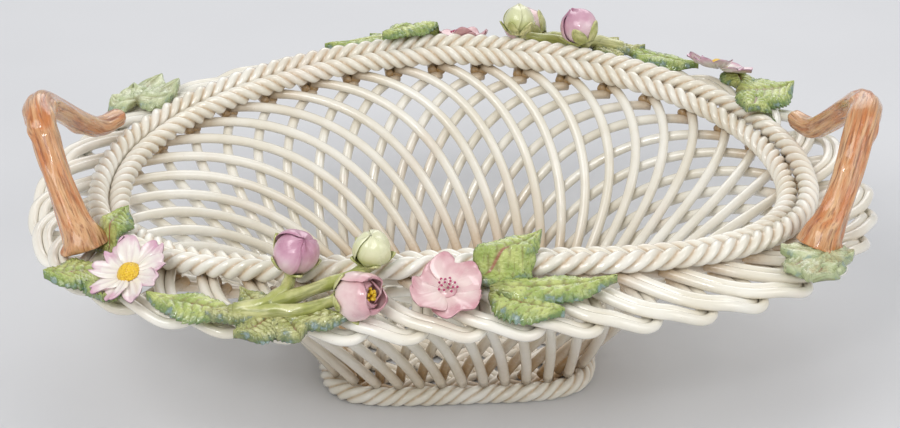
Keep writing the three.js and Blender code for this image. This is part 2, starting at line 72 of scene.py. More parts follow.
def smooth(values: Array, low: float, high: float) -> Array:
    """Returns the smooth step from 0 at low to 1 at high: t * t * (3 - 2t)."""
    t = np.clip((values - low) / (high - low), 0, 1)
    return t * t * (3 - 2 * t)


def hump(values: Array, width: float) -> Array:
    """Returns a rounded hump, e to the power of -(values / width)^2, which is 1 at 0."""
    return np.exp(-((values / width) ** 2))


def wave(turns: Array) -> Array:
    """Returns the sine of an angle that is given in whole turns."""
    return np.sin(FULL_TURN * turns)


def even_angles(count: int) -> Array:
    """Returns evenly spaced angles of one turn."""
    return FULL_TURN * np.arange(count) / count


def stacked(*parts: Array | float) -> Array:
    """Returns the parts, brought to one shape, side by side along a last axis."""
    return np.stack(np.broadcast_arrays(*parts), axis=-1)


def spline(controls: Array, count: int) -> Array:
    """Draws a smooth curve through rows of control values.

    Between rows b and c with neighbours a and d, the value is half of
    2b + (c - a) t + (2a - 5b + 4c - d) t^2 + (3b - a - 3c + d) t^3.

    Args:
        controls: values of shape (..., rows, columns).
        count: the number of even stops on the curve.

    Returns:
        Values of shape (..., count, columns).
    """
    steps = controls.shape[-2] - 1
    where = np.linspace(0, steps, count)
    first = np.minimum(where.astype(int), steps - 1)
    t = (where - first)[:, None]
    a, b, c, d = (np.take(controls, np.clip(first + shift, 0, steps), axis=-2) for shift in (-1, 0, 1, 2))
    return (2 * b + (c - a) * t + (2 * a - 5 * b + 4 * c - d) * t**2 + (3 * b - a - 3 * c + d) * t**3) / 2


def end_pools_and_shade(part: Array, start: tuple[float, float], end: tuple[float, float]) -> Array:
    """Returns the glaze pools and the painted shade at a strand's two ends, each given as its depth and its
    length share.
    """
    return start[0] * hump(part, start[1]) + end[0] * hump(1 - part, end[1])


@dataclass
class Surface:
    """Closed patches on one grid of stations along and stops round each patch.

    Attributes:
        points: places in millimetres, of shape (patches, along, round, 3).
        lay: the surface's own coordinates for its glaze, three for each point.
        pool: how thickly the glaze pools and how much shade is painted there, 0 to 1, for all points or for
            each.
        ring: True where the last station meets the first one.
    """

    points: Array
    lay: Array
    pool: Array | float = 0.0
    ring: bool = False

    def __post_init__(self) -> None:
        """Spreads the lay and the share of glaze pools and painted shade over all patches."""
        self.lay = np.broadcast_to(self.lay, self.points.shape)
        self.pool = np.broadcast_to(self.pool, self.points.shape[:3])

    def some(self, patches: list[int]) -> "Surface":
        """Returns only the numbered patches."""
        return Surface(self.points[patches], self.lay[patches], self.pool[patches], self.ring)

    def faces(self) -> tuple[Array, Array]:
        """Returns the corner numbers of the quads and of the end caps, facing outward.

        The signed volume of the patches, each about its own centre, is the sum of
        corner . (next x opposite) over the quads; where it is negative, every face is turned.
        """
        patches, along, across = self.points.shape[:3]
        index = np.arange(patches * along * across).reshape(patches, along, across)
        here = index if self.ring else index[:, :-1]
        after = np.roll(index, -1, axis=1) if self.ring else index[:, 1:]
        corners = [here, after, np.roll(after, -1, axis=2), np.roll(here, -1, axis=2)]
        quads = np.stack(corners, axis=-1).reshape(-1, 4)
        caps = index[:0, 0] if self.ring else np.concatenate([index[:, 0], index[:, -1, ::-1]])
        centred = (self.points - self.points.mean(axis=(1, 2), keepdims=True)).reshape(-1, 3)
        a, b, c, d = (centred[quads[:, i]] for i in range(4))
        volume = (a * np.cross(b, c)).sum() + (a * np.cross(c, d)).sum()
        return (quads, caps) if volume >= 0 else (quads[:, ::-1], caps[:, ::-1])


def tube(
    centres: Array, lifts: Array, radii: Array | float, sides: int, ring: bool = False,
    twist: Array | float = 0.0, pool: Array | float = 0.0,
) -> Surface:
    """Carries a round profile along centre lines.

    A point is centre + radius * (cos(angle) * across + sin(angle) * upward), where across is square
    to the run and the lift, and upward is square to both.

    Args:
        centres: centre lines of shape (patches, along, 3).
        lifts: the direction that upward leans to, for all stations or for each.
        radii: one radius, or radii of shape (patches, along, sides).
        sides: stops round the profile.
        ring: True where the line closes on itself.
        twist: how far the profile is turned at each station.
        pool: how thickly the glaze pools and how much shade is painted there, one share or one for each
            point.

    Returns:
        The tubes, whose lay is (cosine, sine, length along) in millimetres.
    """
    run = np.roll(centres, -1, axis=1) - np.roll(centres, 1, axis=1) if ring else np.gradient(centres, axis=1)
    across = unit(np.cross(run, lifts))
    upward = unit(np.cross(across, run))
    angle = even_angles(sides)
    turned = (angle + np.broadcast_to(twist, centres.shape[:2] + (1,)))[..., None]
    radii = np.broadcast_to(radii, centres.shape[:2] + (sides,))
    ways = np.cos(turned) * across[:, :, None] + np.sin(turned) * upward[:, :, None]
    steps = np.linalg.norm(np.diff(centres, axis=1, prepend=centres[:, :1]), axis=-1)
    lay = stacked(radii * np.cos(angle), radii * np.sin(angle), np.cumsum(steps, axis=1)[..., None])
    return Surface(centres[:, :, None] + radii[..., None] * ways, lay, pool, ring)


def sheet_grid(along: int, across: int) -> tuple[Array, Array, Array]:
    """Returns the parameters of a thin closed sheet.

    Returns:
        The share along, 0 to 1, the share across, -1 to 1, and the layer, 1 above and 0 below, each
        of shape (along, 2 * across). The stops run over the top and back underneath.
    """
    over = np.sin(np.linspace(-1, 1, across) * math.pi / 2)
    side = np.concatenate([over, over[::-1]])
    layer = np.concatenate([np.ones(across), np.zeros(across)])
    share = np.linspace(0, 1, along)
    return (*np.meshgrid(share, side, indexing="ij"), np.broadcast_to(layer, (along, 2 * across)))


def rounded_edge(side: Array, power: float = 4) -> Array:
    """Returns a sheet's thickness share at a share across: 1 inside, thinned to 0.15 at the edge."""
    return 1 - 0.85 * np.abs(side) ** power


# Materials


def linear(colour: Colour) -> tuple[float, ...]:
    """Returns the linear colour, with an alpha of 1, of a display colour given from 0 to 255."""
    return (*(((c / 255 + 0.055) / 1.055) ** 2.4 for c in colour), 1.0)


class Value:
    """One output socket of a material, with arithmetic that adds Math nodes."""

    def __init__(self, glaze: "Glaze", socket: bpy.types.NodeSocket) -> None:
        self.glaze = glaze
        self.socket = socket

    def math(self, operation: str, *others: "Value | float") -> "Value":
        """Returns a Math node's result of this value and the others."""
        return self.glaze.node("Math", dict(enumerate((self, *others))), operation=operation)

    __add__ = __radd__ = partialmethod(math, "ADD")
    __mul__ = __rmul__ = partialmethod(math, "MULTIPLY")
    __sub__ = partialmethod(math, "SUBTRACT")

    def __rsub__(self, other: float) -> "Value":
        """Returns the other value less this one."""
        return (self * -1.0) + other

    def clamped(self) -> "Value":
        """Returns this value held between 0 and 1."""
        return self.glaze.node("Clamp", {"Value": self})

    def step(self, low: float, high: float) -> "Value":
        """Returns the smooth step from 0 at low to 1 at high."""
        links = {"Value": self, "From Min": low, "From Max": high}
        return self.glaze.node("MapRange", links, interpolation_type="SMOOTHSTEP")


class Glaze:
    """A node material on a Principled shader."""

    def __init__(self, name: str) -> None:
        self.material = bpy.data.materials.new(name)
        self.material.use_nodes = True
        self.tree = self.material.node_tree
        self.shader = self.tree.nodes["Principled BSDF"]

    def feed(self, socket: bpy.types.NodeSocket, value: Value | float | tuple) -> None:
        """Links a value to an input, or sets the input to a plain number or vector."""
        if isinstance(value, Value):
            self.tree.links.new(value.socket, socket)
        else:
            socket.default_value = value

    def node(self, kind: str, links: dict, output: int | str = 0, **settings: str) -> Value:
        """Adds a node.

        Args:
            kind: the end of the node's type.
            links: values by input name or number.
            output: the output that is returned.
            settings: the node's properties.

        Returns:
            The output socket as a Value.
        """
        made = self.tree.nodes.new("ShaderNode" + kind)
        for name, setting in settings.items():
            setattr(made, name, setting)
        for name, value in links.items():
            self.feed(made.inputs[name], value)
        return Value(self, made.outputs[output])

    def own(self, name: str, output: str) -> Value:
        """Returns one of the piece's own attributes."""
        return self.node("Attribute", {}, output, attribute_name=name)

    def lay(self, scale: tuple[float, float, float]) -> Value:
        """Returns the piece's own coordinates in millimetres, scaled."""
        return self.node("VectorMath", {0: self.own("lay", "Vector"), 1: scale}, operation="MULTIPLY")

    def lay_parts(self) -> tuple[Value, Value, Value]:
        """Returns the three parts of the piece's own coordinates."""
        apart = self.node("SeparateXYZ", {0: self.own("lay", "Vector")})
        return tuple(Value(self, socket) for socket in apart.socket.node.outputs)

    def pool(self) -> Value:
        """Returns how thickly the glaze pools and how much shade is painted there."""
        return self.own("pool", "Fac")

    def place(self) -> Value:
        """Returns the object coordinates in millimetres."""
        coordinates = self.node("TexCoord", {}, "Object")
        return self.node("VectorMath", {0: coordinates, "Scale": 1 / METRES}, operation="SCALE")

    def noise(self, vector: Value, scale: float, detail: float = 3.0) -> Value:
        """Returns noise from 0 to 1 whose scale is in waves for each millimetre."""
        return self.node("TexNoise", {"Vector": vector, "Scale": scale, "Detail": detail})

    def cells(self, vector: Value, scale: float) -> Value:
        """Returns the distance to the nearest of scattered points."""
        return self.node("TexVoronoi", {"Vector": vector, "Scale": scale})

    def mix(self, share: Value | float, first: Value | Colour, second: Value | Colour) -> Value:
        """Returns a colour between two colours, by a share that is held between 0 and 1."""
        first, second = (c if isinstance(c, Value) else linear(c) for c in (first, second))
        return self.node("Mix", {0: share, 6: first, 7: second}, 2, data_type="RGBA")

    def bump(self, height: Value, distance: float, strength: float, under: Value | None = None) -> Value:
        """Returns a normal raised by a height from 0 to 1 over a distance in millimetres."""
        links = {"Height": height, "Distance": distance * METRES, "Strength": strength}
        return self.node("Bump", links | ({"Normal": under} if under else {}))

    def finish(self, **sockets: Value | float) -> Material:
        """Feeds the shader's inputs, whose names have _ for a space, and returns the material."""
        for name, value in sockets.items():
            self.feed(self.shader.inputs[name.replace("_", " ")], value)
        return self.material


@dataclass(frozen=True)
class CreamGlaze:
    """Glossy cream porcelain glaze, clouded with a paler crest colour, and ochre where the glaze pools and
    where shade is painted into creases.
    """

    name: str
    crest: Colour = (240, 236, 225)
    body: Colour = (228, 221, 204)
    # Ochre for the glaze pools and the painted shade, and for the specks.
    pooled_and_shaded: Colour = (176, 134, 72)
    blush: Colour = (228, 214, 198)

    def material(self) -> Material:
        """Builds the glaze: a cloudy body, a faint blush, ochre pools with painted shade and a nearly level
        gloss.
        """
        glaze = Glaze(self.name)
        place = glaze.place()
        fine = glaze.noise(place, 0.9, 2.0)
        body = glaze.mix(glaze.noise(place, 0.045, 4.0).step(0.35, 0.68), self.body, self.crest)
        blushed = glaze.mix(glaze.noise(place, 0.028).step(0.52, 0.75) * 0.55, body, self.blush)
        # Ochre where the glaze pools and where shade is painted: in the ropes' crevices, under the ropes and
        # near the foot.
        pooled_and_shaded = (glaze.pool() * (0.55 + fine * 0.7)).clamped()
        colour = glaze.mix(pooled_and_shaded, blushed, self.pooled_and_shaded)
        specks = 1 - glaze.cells(place, 0.5).step(0.02, 0.09)
        return glaze.finish(
            Base_Color=glaze.mix(specks * 0.35, colour, self.pooled_and_shaded),
            Roughness=0.1 + fine * 0.1 + pooled_and_shaded * 0.15, Coat_Weight=0.35, Coat_Roughness=0.06, IOR=1.52,
            Normal=glaze.bump(glaze.noise(place, 0.22, 2.0), 0.35, 0.55),
        )


@dataclass(frozen=True)
class BarkGlaze:
    """Orange-brown glaze over modelled bark, streaked along the twig, paler in patches off its grooves and
    darkened in them with painted shade.
    """

    name: str = "bark_glaze"
    light: Colour = (223, 174, 124)
    body: Colour = (202, 124, 66)
    dark: Colour = (136, 72, 36)

    def material(self) -> Material:
        """Builds the glaze: long streaks, a few dark cracks, pale patches off the grooves, painted shade in
        the grooves and a wet gloss.
        """
        glaze = Glaze(self.name)
        streaks = glaze.noise(glaze.lay((0.5, 0.5, 0.05)), 1.0, 6.0)
        cracks = glaze.noise(glaze.lay((1.2, 1.2, 0.1)), 1.0, 5.0)
        cloud = glaze.noise(glaze.place(), 0.09)
        body = glaze.mix(streaks.step(0.38, 0.64), self.body, self.light)
        # Paler in cloudy patches away from the grooves, which are darkened below.
        paler_off_grooves = glaze.mix((1 - glaze.pool()) * cloud.step(0.46, 0.62) * 0.6, body, self.light)
        shaded = glaze.mix(cloud.step(0.5, 0.85) * 0.4, paler_off_grooves, self.dark)
        crack = 1 - cracks.step(0.34, 0.48)
        # Darker in the cracks and, as glaze pools and painted shade, in the grooves between the ridges.
        return glaze.finish(
            Base_Color=glaze.mix(crack * 0.6 + glaze.pool() * 0.6, shaded, self.dark),
            Roughness=0.14 + streaks * 0.2, Coat_Weight=0.7, Coat_Roughness=0.06,
            Normal=glaze.bump(cracks, 1.0, 0.8, glaze.bump(streaks, 1.8, 0.9)),
        )


@dataclass(frozen=True)
class LeafGlaze:
    """Yellow-green glaze, dark green along the edges with patches of painted blue-grey sheen there, and a
    pink-brown midrib.
    """

    name: str = "leaf_glaze"
    light: Colour = (198, 206, 124)
    body: Colour = (156, 174, 86)
    edge: Colour = (80, 114, 62)
    # Painted blue-grey sheen.
    painted_sheen: Colour = (136, 156, 158)
    olive: Colour = (124, 112, 58)
    rib: Colour = (164, 100, 80)
    shade: float = 0.9

    def material(self) -> Material:
        """Builds the glaze from the leaf's own coordinates: across, along and nearness to a furrow."""
        glaze = Glaze(self.name)
        side, share, furrow = glaze.lay_parts()
        place = glaze.place()
        cloud = glaze.noise(place, 0.16, 4.0)
        patches = glaze.noise(place, 0.3)
        fine = glaze.noise(place, 0.7, 4.0)
        away = side.math("ABSOLUTE")
        body = glaze.mix(cloud.step(0.36, 0.66), self.body, self.light)
        rim = (away + patches * 1.1 - 0.55).step(0.5, 1.1) * self.shade
        edged = glaze.mix(rim, body, self.edge)
        # Painted blue-grey sheen in patches along the edges.
        with_painted_sheen = glaze.mix(rim * patches.step(0.54, 0.68) * 0.8, edged, self.painted_sheen)
        veined = glaze.mix(furrow.step(0.55, 1.0) * 0.7 * self.shade, with_painted_sheen, self.olive)
        rib = (1 - away.step(0.01, 0.055)) * (1 - share.step(0.55, 0.95)) * cloud.step(0.3, 0.5)
        ribbed = glaze.mix(rib * 0.85, veined, self.rib)
        # Olive at the leaf's base, where the glaze pools and shade is painted.
        return glaze.finish(
            Base_Color=glaze.mix(glaze.pool() * 1.4, ribbed, self.olive),
            Roughness=0.08 + fine * 0.14, Coat_Weight=0.8, Coat_Roughness=0.05,
            Normal=glaze.bump(fine, 1.2, 0.9),
        )


@dataclass(frozen=True)
class StemGlaze:
    """Yellow-green glaze on stems and sepals, with darker streaks."""

    name: str = "stem_glaze"
    light: Colour = (206, 204, 146)
    body: Colour = (168, 172, 96)
    dark: Colour = (116, 122, 58)

    def material(self) -> Material:
        """Builds the glaze: clouds of two greens and darker streaks."""
        glaze = Glaze(self.name)
        cloud = glaze.noise(glaze.place(), 0.14, 4.0)
        streaks = glaze.noise(glaze.lay((0.7, 0.7, 0.1)), 1.0, 4.0)
        body = glaze.mix(cloud.step(0.38, 0.62), self.body, self.light)
        return glaze.finish(
            Base_Color=glaze.mix((1 - streaks.step(0.35, 0.55)) * 0.6, body, self.dark),
            Roughness=0.14 + cloud * 0.14, Coat_Weight=0.5, Coat_Roughness=0.06,
            Normal=glaze.bump(streaks, 0.5, 0.6),
        )


@dataclass(frozen=True)
class PetalGlaze:
    """Glaze on petals, from one colour at the hub over a middle one to another at the tip."""

    name: str
    hub: Colour
    middle: Colour
    tip: Colour
    turn: float = 0.55

    def material(self) -> Material:
        """Builds the glaze: a run of colour along the petal, deeper where the glaze pools and shade is
        painted, clouds and fine lines along it.
        """
        glaze = Glaze(self.name)
        share = glaze.lay_parts()[1]
        cloud = glaze.noise(glaze.place(), 0.2)
        lines = glaze.noise(glaze.lay((6.0, 0.9, 0.0)), 1.0, 2.0)
        run = share + cloud * 1.1 - 0.6
        inner = glaze.mix(run * (1 / self.turn), self.hub, self.middle)
        colour = glaze.mix((run - self.turn) * (1 / (1 - self.turn)), inner, self.tip)
        # The tip colour deepens where the glaze pools and shade is painted: near the hub, in furrows, at bud
        # petals' edges and in bud cores.
        deep_pool_and_shade = glaze.mix(glaze.pool() * 0.7, colour, self.tip)
        return glaze.finish(
            Base_Color=glaze.mix(lines.step(0.55, 0.8) * 0.25, deep_pool_and_shade, self.hub),
            Roughness=0.16 + cloud * 0.18, Coat_Weight=0.4, Coat_Roughness=0.08,
            Normal=glaze.bump(lines, 0.3, 0.5),
        )


@dataclass(frozen=True)
class HeartGlaze:
    """A flower's heart, pitted or dotted with a darker colour."""

    name: str
    body: Colour
    dots: Colour
    dots_per_mm: float
    pit_depth: float

    def material(self) -> Material:
        """Builds the glaze: scattered pits that hold the darker colour."""
        glaze = Glaze(self.name)
        cell = glaze.cells(glaze.place(), self.dots_per_mm)
        cloud = glaze.noise(glaze.place(), 0.3)
        return glaze.finish(
            Base_Color=glaze.mix((1 - cell.step(0.1, 0.42)) * (0.45 + cloud * 0.8), self.body, self.dots),
            Roughness=0.25 + cloud * 0.2, Coat_Weight=0.25,
            Normal=glaze.bump(cell, self.pit_depth, 0.9),
        )


FINISHES = (
    CreamGlaze("cream_wall"),
    CreamGlaze("cream_rope"),
    BarkGlaze(),
    LeafGlaze(),
    LeafGlaze("fan_glaze", (208, 212, 170), (182, 192, 144), (128, 148, 98), shade=0.7),
    LeafGlaze("sprig_glaze", (208, 206, 146), (156, 160, 88), (84, 104, 62), shade=1.0),
    StemGlaze(),
    PetalGlaze("white_petal", (234, 228, 212), (234, 227, 219), (208, 160, 180)),
    PetalGlaze("pink_petal", (236, 218, 211), (224, 192, 191), (204, 150, 157)),
    PetalGlaze("mauve_petal", (232, 212, 214), (208, 164, 180), (176, 116, 142)),
    PetalGlaze("pale_bud", (186, 192, 112), (214, 216, 170), (226, 224, 190)),
    HeartGlaze("yellow_heart", (238, 196, 40), (206, 132, 16), dots_per_mm=1.5, pit_depth=0.5),
    HeartGlaze("magenta_heart", (176, 56, 104), (126, 22, 62), dots_per_mm=1.1, pit_depth=0.2),
)


class Dresser:
    """Makes the materials, each of them once, and then pieces in them."""

    def __init__(self) -> None:
        self.made = {finish.name: finish.material() for finish in FINISHES}

    def dress(self, name: str, surfaces: list[Surface], slot: str, finish: str = "", node: str = "") -> None:
        """Makes one piece from surfaces and hands it to the frame.

        Args:
            name: the piece's name.
            surfaces: its closed surfaces.
            slot: the record's material slot.
            finish: the material, where it isn't the slot's own.
            node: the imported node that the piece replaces, if any.
        """
        starts = np.cumsum([0] + [s.pool.size for s in surfaces])
        found = [(f, start) for s, start in zip(surfaces, starts) for f in s.faces()]
        corners = np.concatenate([f.ravel() + start for f, start in found])
        counts = np.concatenate([np.full(len(f), f.shape[1]) for f, _ in found])
        points = np.concatenate([s.points.reshape(-1, 3) for s in surfaces]) * METRES
        mesh = bpy.data.meshes.new(name)
        mesh.vertices.add(len(points))
        mesh.vertices.foreach_set("co", points.ravel())
        mesh.loops.add(len(corners))
        mesh.loops.foreach_set("vertex_index", corners)
        mesh.polygons.add(len(counts))
        mesh.polygons.foreach_set("loop_start", np.cumsum(counts) - counts)
        mesh.polygons.foreach_set("use_smooth", np.ones(len(counts), bool))
        mesh.update(calc_edges=True)
        mesh.validate()
        # The second attribute holds the share of glaze pools and painted shade.
        for own, kind, part in (("lay", "FLOAT_VECTOR", "vector"), ("pool", "FLOAT", "value")):
            values = np.concatenate([getattr(s, own).ravel() for s in surfaces])
            mesh.attributes.new(own, kind, "POINT").data.foreach_set(part, values)
        mesh.materials.append(self.made[finish or slot])
        piece = bpy.data.objects.new(name, mesh)
        bpy.context.scene.collection.objects.link(piece)
        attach(piece, "root")
        if node:
            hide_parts(node)
        LOG.info("%s: %d faces", name, len(counts))


# Shared outlines


class Oval:
    """A superellipse, x = a sgn(cos)|cos|^(2/p) and y likewise, placed by shares of its length."""

    def __init__(self, half_length: float, half_width: float, power: float) -> None:
        angle = np.linspace(0, FULL_TURN, 1441)
        ways = stacked(np.cos(angle), np.sin(angle))
        self.places = np.array([half_length, half_width]) * np.sign(ways) * np.abs(ways) ** (2 / power)
        steps = np.linalg.norm(np.diff(self.places, axis=0), axis=-1)
        self.lengths = np.concatenate([[0.0], np.cumsum(steps)])
        self.total = float(self.lengths[-1])

    def at(self, share: Array) -> Array:
        """Returns the places at shares of the length, of shape (..., 2)."""
        wanted = (np.asarray(share, float) % 1.0) * self.total
        return stacked(*(np.interp(wanted, self.lengths, self.places[:, i]) for i in (0, 1)))

    def outward(self, share: Array, spread: float = 0.012) -> Array:
        """Returns the outward directions at shares of the length, each evened over a spread."""
        run = self.at(share + spread) - self.at(share - spread)
        return unit(stacked(run[..., 1], -run[..., 0]))


@dataclass
class Rim:
    """The oval seam between the two rim ropes, whose ends lie lower than its long sides."""

    half_length: float = 118.0
    half_width: float = 84.0
    height: float = 83.5
    droop: float = 14.0
    power: float = 2.25
    droop_power: float = 1.5
    rope_diameter: float = 6.8
    rope_step: float = 2.1
    gap: float = 0.3
    oval: Oval = field(init=False)

    def __post_init__(self) -> None:
        self.oval = Oval(self.half_length, self.half_width, self.power)

    def droop_at(self, share: Array) -> Array:
        """Returns the share of the droop: 0 at the long sides' middles and 1 at the ends."""
        return np.abs(self.oval.at(share)[..., 0] / self.half_length) ** self.droop_power

    def top(self, share: Array) -> Array:
        """Returns the height of the ropes' tops."""
        return self.height - self.droop * self.droop_at(share)

    def beside(self, share: Array, out: Array, height: Array) -> Array:
        """Returns places at shares of the rim, moved outward, at heights."""
        share, out, height = np.broadcast_arrays(share, out, height)
        flat = self.oval.at(share) + self.oval.outward(share) * out[..., None]
        return stacked(flat[..., 0], flat[..., 1], height)


@dataclass
class TwistedRope:
    """A rope of round clay strands laid round each other."""

    diameter: float
    turns: int
    strands: int
    spread: float = 0.88
    easing: float = 0.0
    stations_per_turn: int = 30
    stops_per_strand: int = 11

    # Hand-made unevenness of the radius and of the twist: how much, waves round the line, and phase
    uneven = ((0.02, 9, 1), (0.015, 23, 1))
    sway = ((0.12, 17, 2), (0.08, 31, 1))

    def shares(self) -> Array:
        """Returns the stations along a closed line."""
        count = self.turns * self.stations_per_turn
        return np.arange(count) / count

    def surface(self, line: Array, seed: int, hand: int = 1) -> Surface:
        """Carries the lobed profile along a closed line, turning as it goes.

        Each strand's outline is a circle whose centre lies off the axis: at an angle a from its middle
        the radius is d cos(a) + sqrt(1 - d^2 sin(a)^2), and the whole is scaled to the diameter. The
        profile's angle grows by whole turns round the line, faster at the back by the easing.

        Args:
            line: centre line of shape (along, 3), closed and evenly spaced.
            seed: fixes the hand-made unevenness.
            hand: the sense of the twist, 1 or -1.
        """
        share = self.shares()
        stops = self.strands * self.stops_per_strand
        lobe = FULL_TURN / self.strands
        off = np.abs((even_angles(stops) + lobe / 2) % lobe - lobe / 2)
        outline = self.spread * np.cos(off) + np.sqrt(1 - (self.spread * np.sin(off)) ** 2)
        uneven, sway = (
            sum(size * wave(share * waves + phase * seed / FULL_TURN) for size, waves, phase in rows)
            for rows in (self.uneven, self.sway)
        )
        radii = self.diameter / 2 * (1 + uneven[:, None]) * outline / (1 + self.spread)
        eased = share + self.easing / FULL_TURN * wave(share - 0.25)
        twist = FULL_TURN * hand * self.turns * eased + sway
        # Glaze pools and painted shade in the crevices between the strands.
        pool = (2 * off / lobe) ** 5
        return tube(line[None], UP, radii[None], stops, True, twist[None, :, None], pool)


@dataclass
class RimRopes:
    """Two twisted ropes side by side over the seam, laid opposite ways, the inner one a step lower."""

    rim: Rim
    turns: int = 41
    strands: int = 3
    fullness: float = 0.5
    easing: float = 0.1

    def build(self, dresser: Dresser) -> None:
        """Makes both ropes, a little fuller than the gap between them."""
        diameter = self.rim.rope_diameter
        rope = TwistedRope(diameter + self.fullness, self.turns, self.strands, easing=self.easing)
        share = rope.shares()
        for name, side, step in (("rim_rope_inner", -1, self.rim.rope_step), ("rim_rope_outer", 1, 0.0)):
            out = side * (diameter + self.rim.gap) / 2
            line = self.rim.beside(share, out, self.rim.top(share) - diameter / 2 - step)
            dresser.dress(f"twisted_{name}", [rope.surface(line, side, side)], "cream_rope", node=name)


@dataclass
class Foot:
    """The foot: a rope round a flat woven mat."""

    half_length: float = 45.5
    half_width: float = 40.0
    power: float = 5.0
    rope_diameter: float = 6.4
    fullness: float = 0.4
    turns: int = 16
    strands: int = 4
    mat_thickness: float = 4.0
    mat_pitch: float = 15.0
    mat_strand: float = 2.7
    mat_tuck: float = 0.6
    mat_rows: int = 7
    mat_search: float = 90.0
    mat_tries: int = 1801
    mat_shortest: float = 4.0

    def rope_centre_height(self) -> float:
        """Returns the height of the rope's centre line, which leaves its underside flat."""
        return self.rope_diameter / 2 * math.cos(math.pi / 8)

    def build(self, dresser: Dresser) -> None:
        """Makes the rope and the mat."""
        self.build_rope(dresser)
        self.build_mat(dresser)

    def build_rope(self, dresser: Dresser) -> None:
        """Makes the foot rope, with its underside ground flat on the table: z is never under 0."""
        rope = TwistedRope(self.rope_diameter + self.fullness, self.turns, self.strands, 0.95)
        flat = Oval(self.half_length, self.half_width, self.power).at(rope.shares())
        surface = rope.surface(stacked(flat[:, 0], flat[:, 1], self.rope_centre_height()), 5)
        surface.points[..., 2] = np.maximum(surface.points[..., 2], 0.0)
        dresser.dress("twisted_foot_rope", [surface], "cream_rope", node="foot_rope")

    def build_mat(self, dresser: Dresser) -> None:
        """Makes the mat: pairs of strands on both diagonals, over and under each other.

        Each strand reaches as far as the foot's oval does, and very short ones are left out. Its
        height is the mat's middle + swing * cos(pi * along / spacing), with the sign by its row and
        its diagonal.
        """
        inset = self.rope_diameter / 2 - self.mat_tuck
        reaches = np.array([self.half_length - inset, self.half_width - inset])
        spacing = self.mat_pitch / math.sqrt(2)
        swing = (self.mat_thickness - self.mat_strand) / 2
        tries = np.linspace(-self.mat_search, self.mat_search, self.mat_tries)
        lines = []
        for direction, row, beside in product((1, -1), range(-self.mat_rows, self.mat_rows + 1), (-0.5, 0.5)):
            along_axis = np.array([1, direction]) / math.sqrt(2)
            across_axis = np.array([-direction, 1]) / math.sqrt(2)
            start = across_axis * (row * spacing + beside * self.mat_strand)
            far = (np.abs((start + tries[:, None] * along_axis) / reaches) ** self.power).sum(axis=-1)
            inside = tries[far < 1]
            if inside.size and np.ptp(inside) > self.mat_shortest:
                stops = np.linspace(inside[0], inside[-1], 60)
                lift = direction * swing * np.cos(math.pi * (stops / spacing + row))
                flat = start + stops[:, None] * along_axis
                lines.append(stacked(flat[:, 0], flat[:, 1], self.mat_thickness / 2 + lift))
        lines = np.stack(lines)
        # Glaze pools and painted shade grow towards the mat's edge, under the rope and the wall.
        far = (np.abs(lines[..., :2] / reaches) ** 3).sum(axis=-1)
        strands = tube(lines, UP, self.mat_strand / 2, 8, pool=0.2 + 0.7 * smooth(far, 0.45, 1.0)[..., None])
        dresser.dress("woven_base_mat", [strands], "cream_wall", node="base_mat")


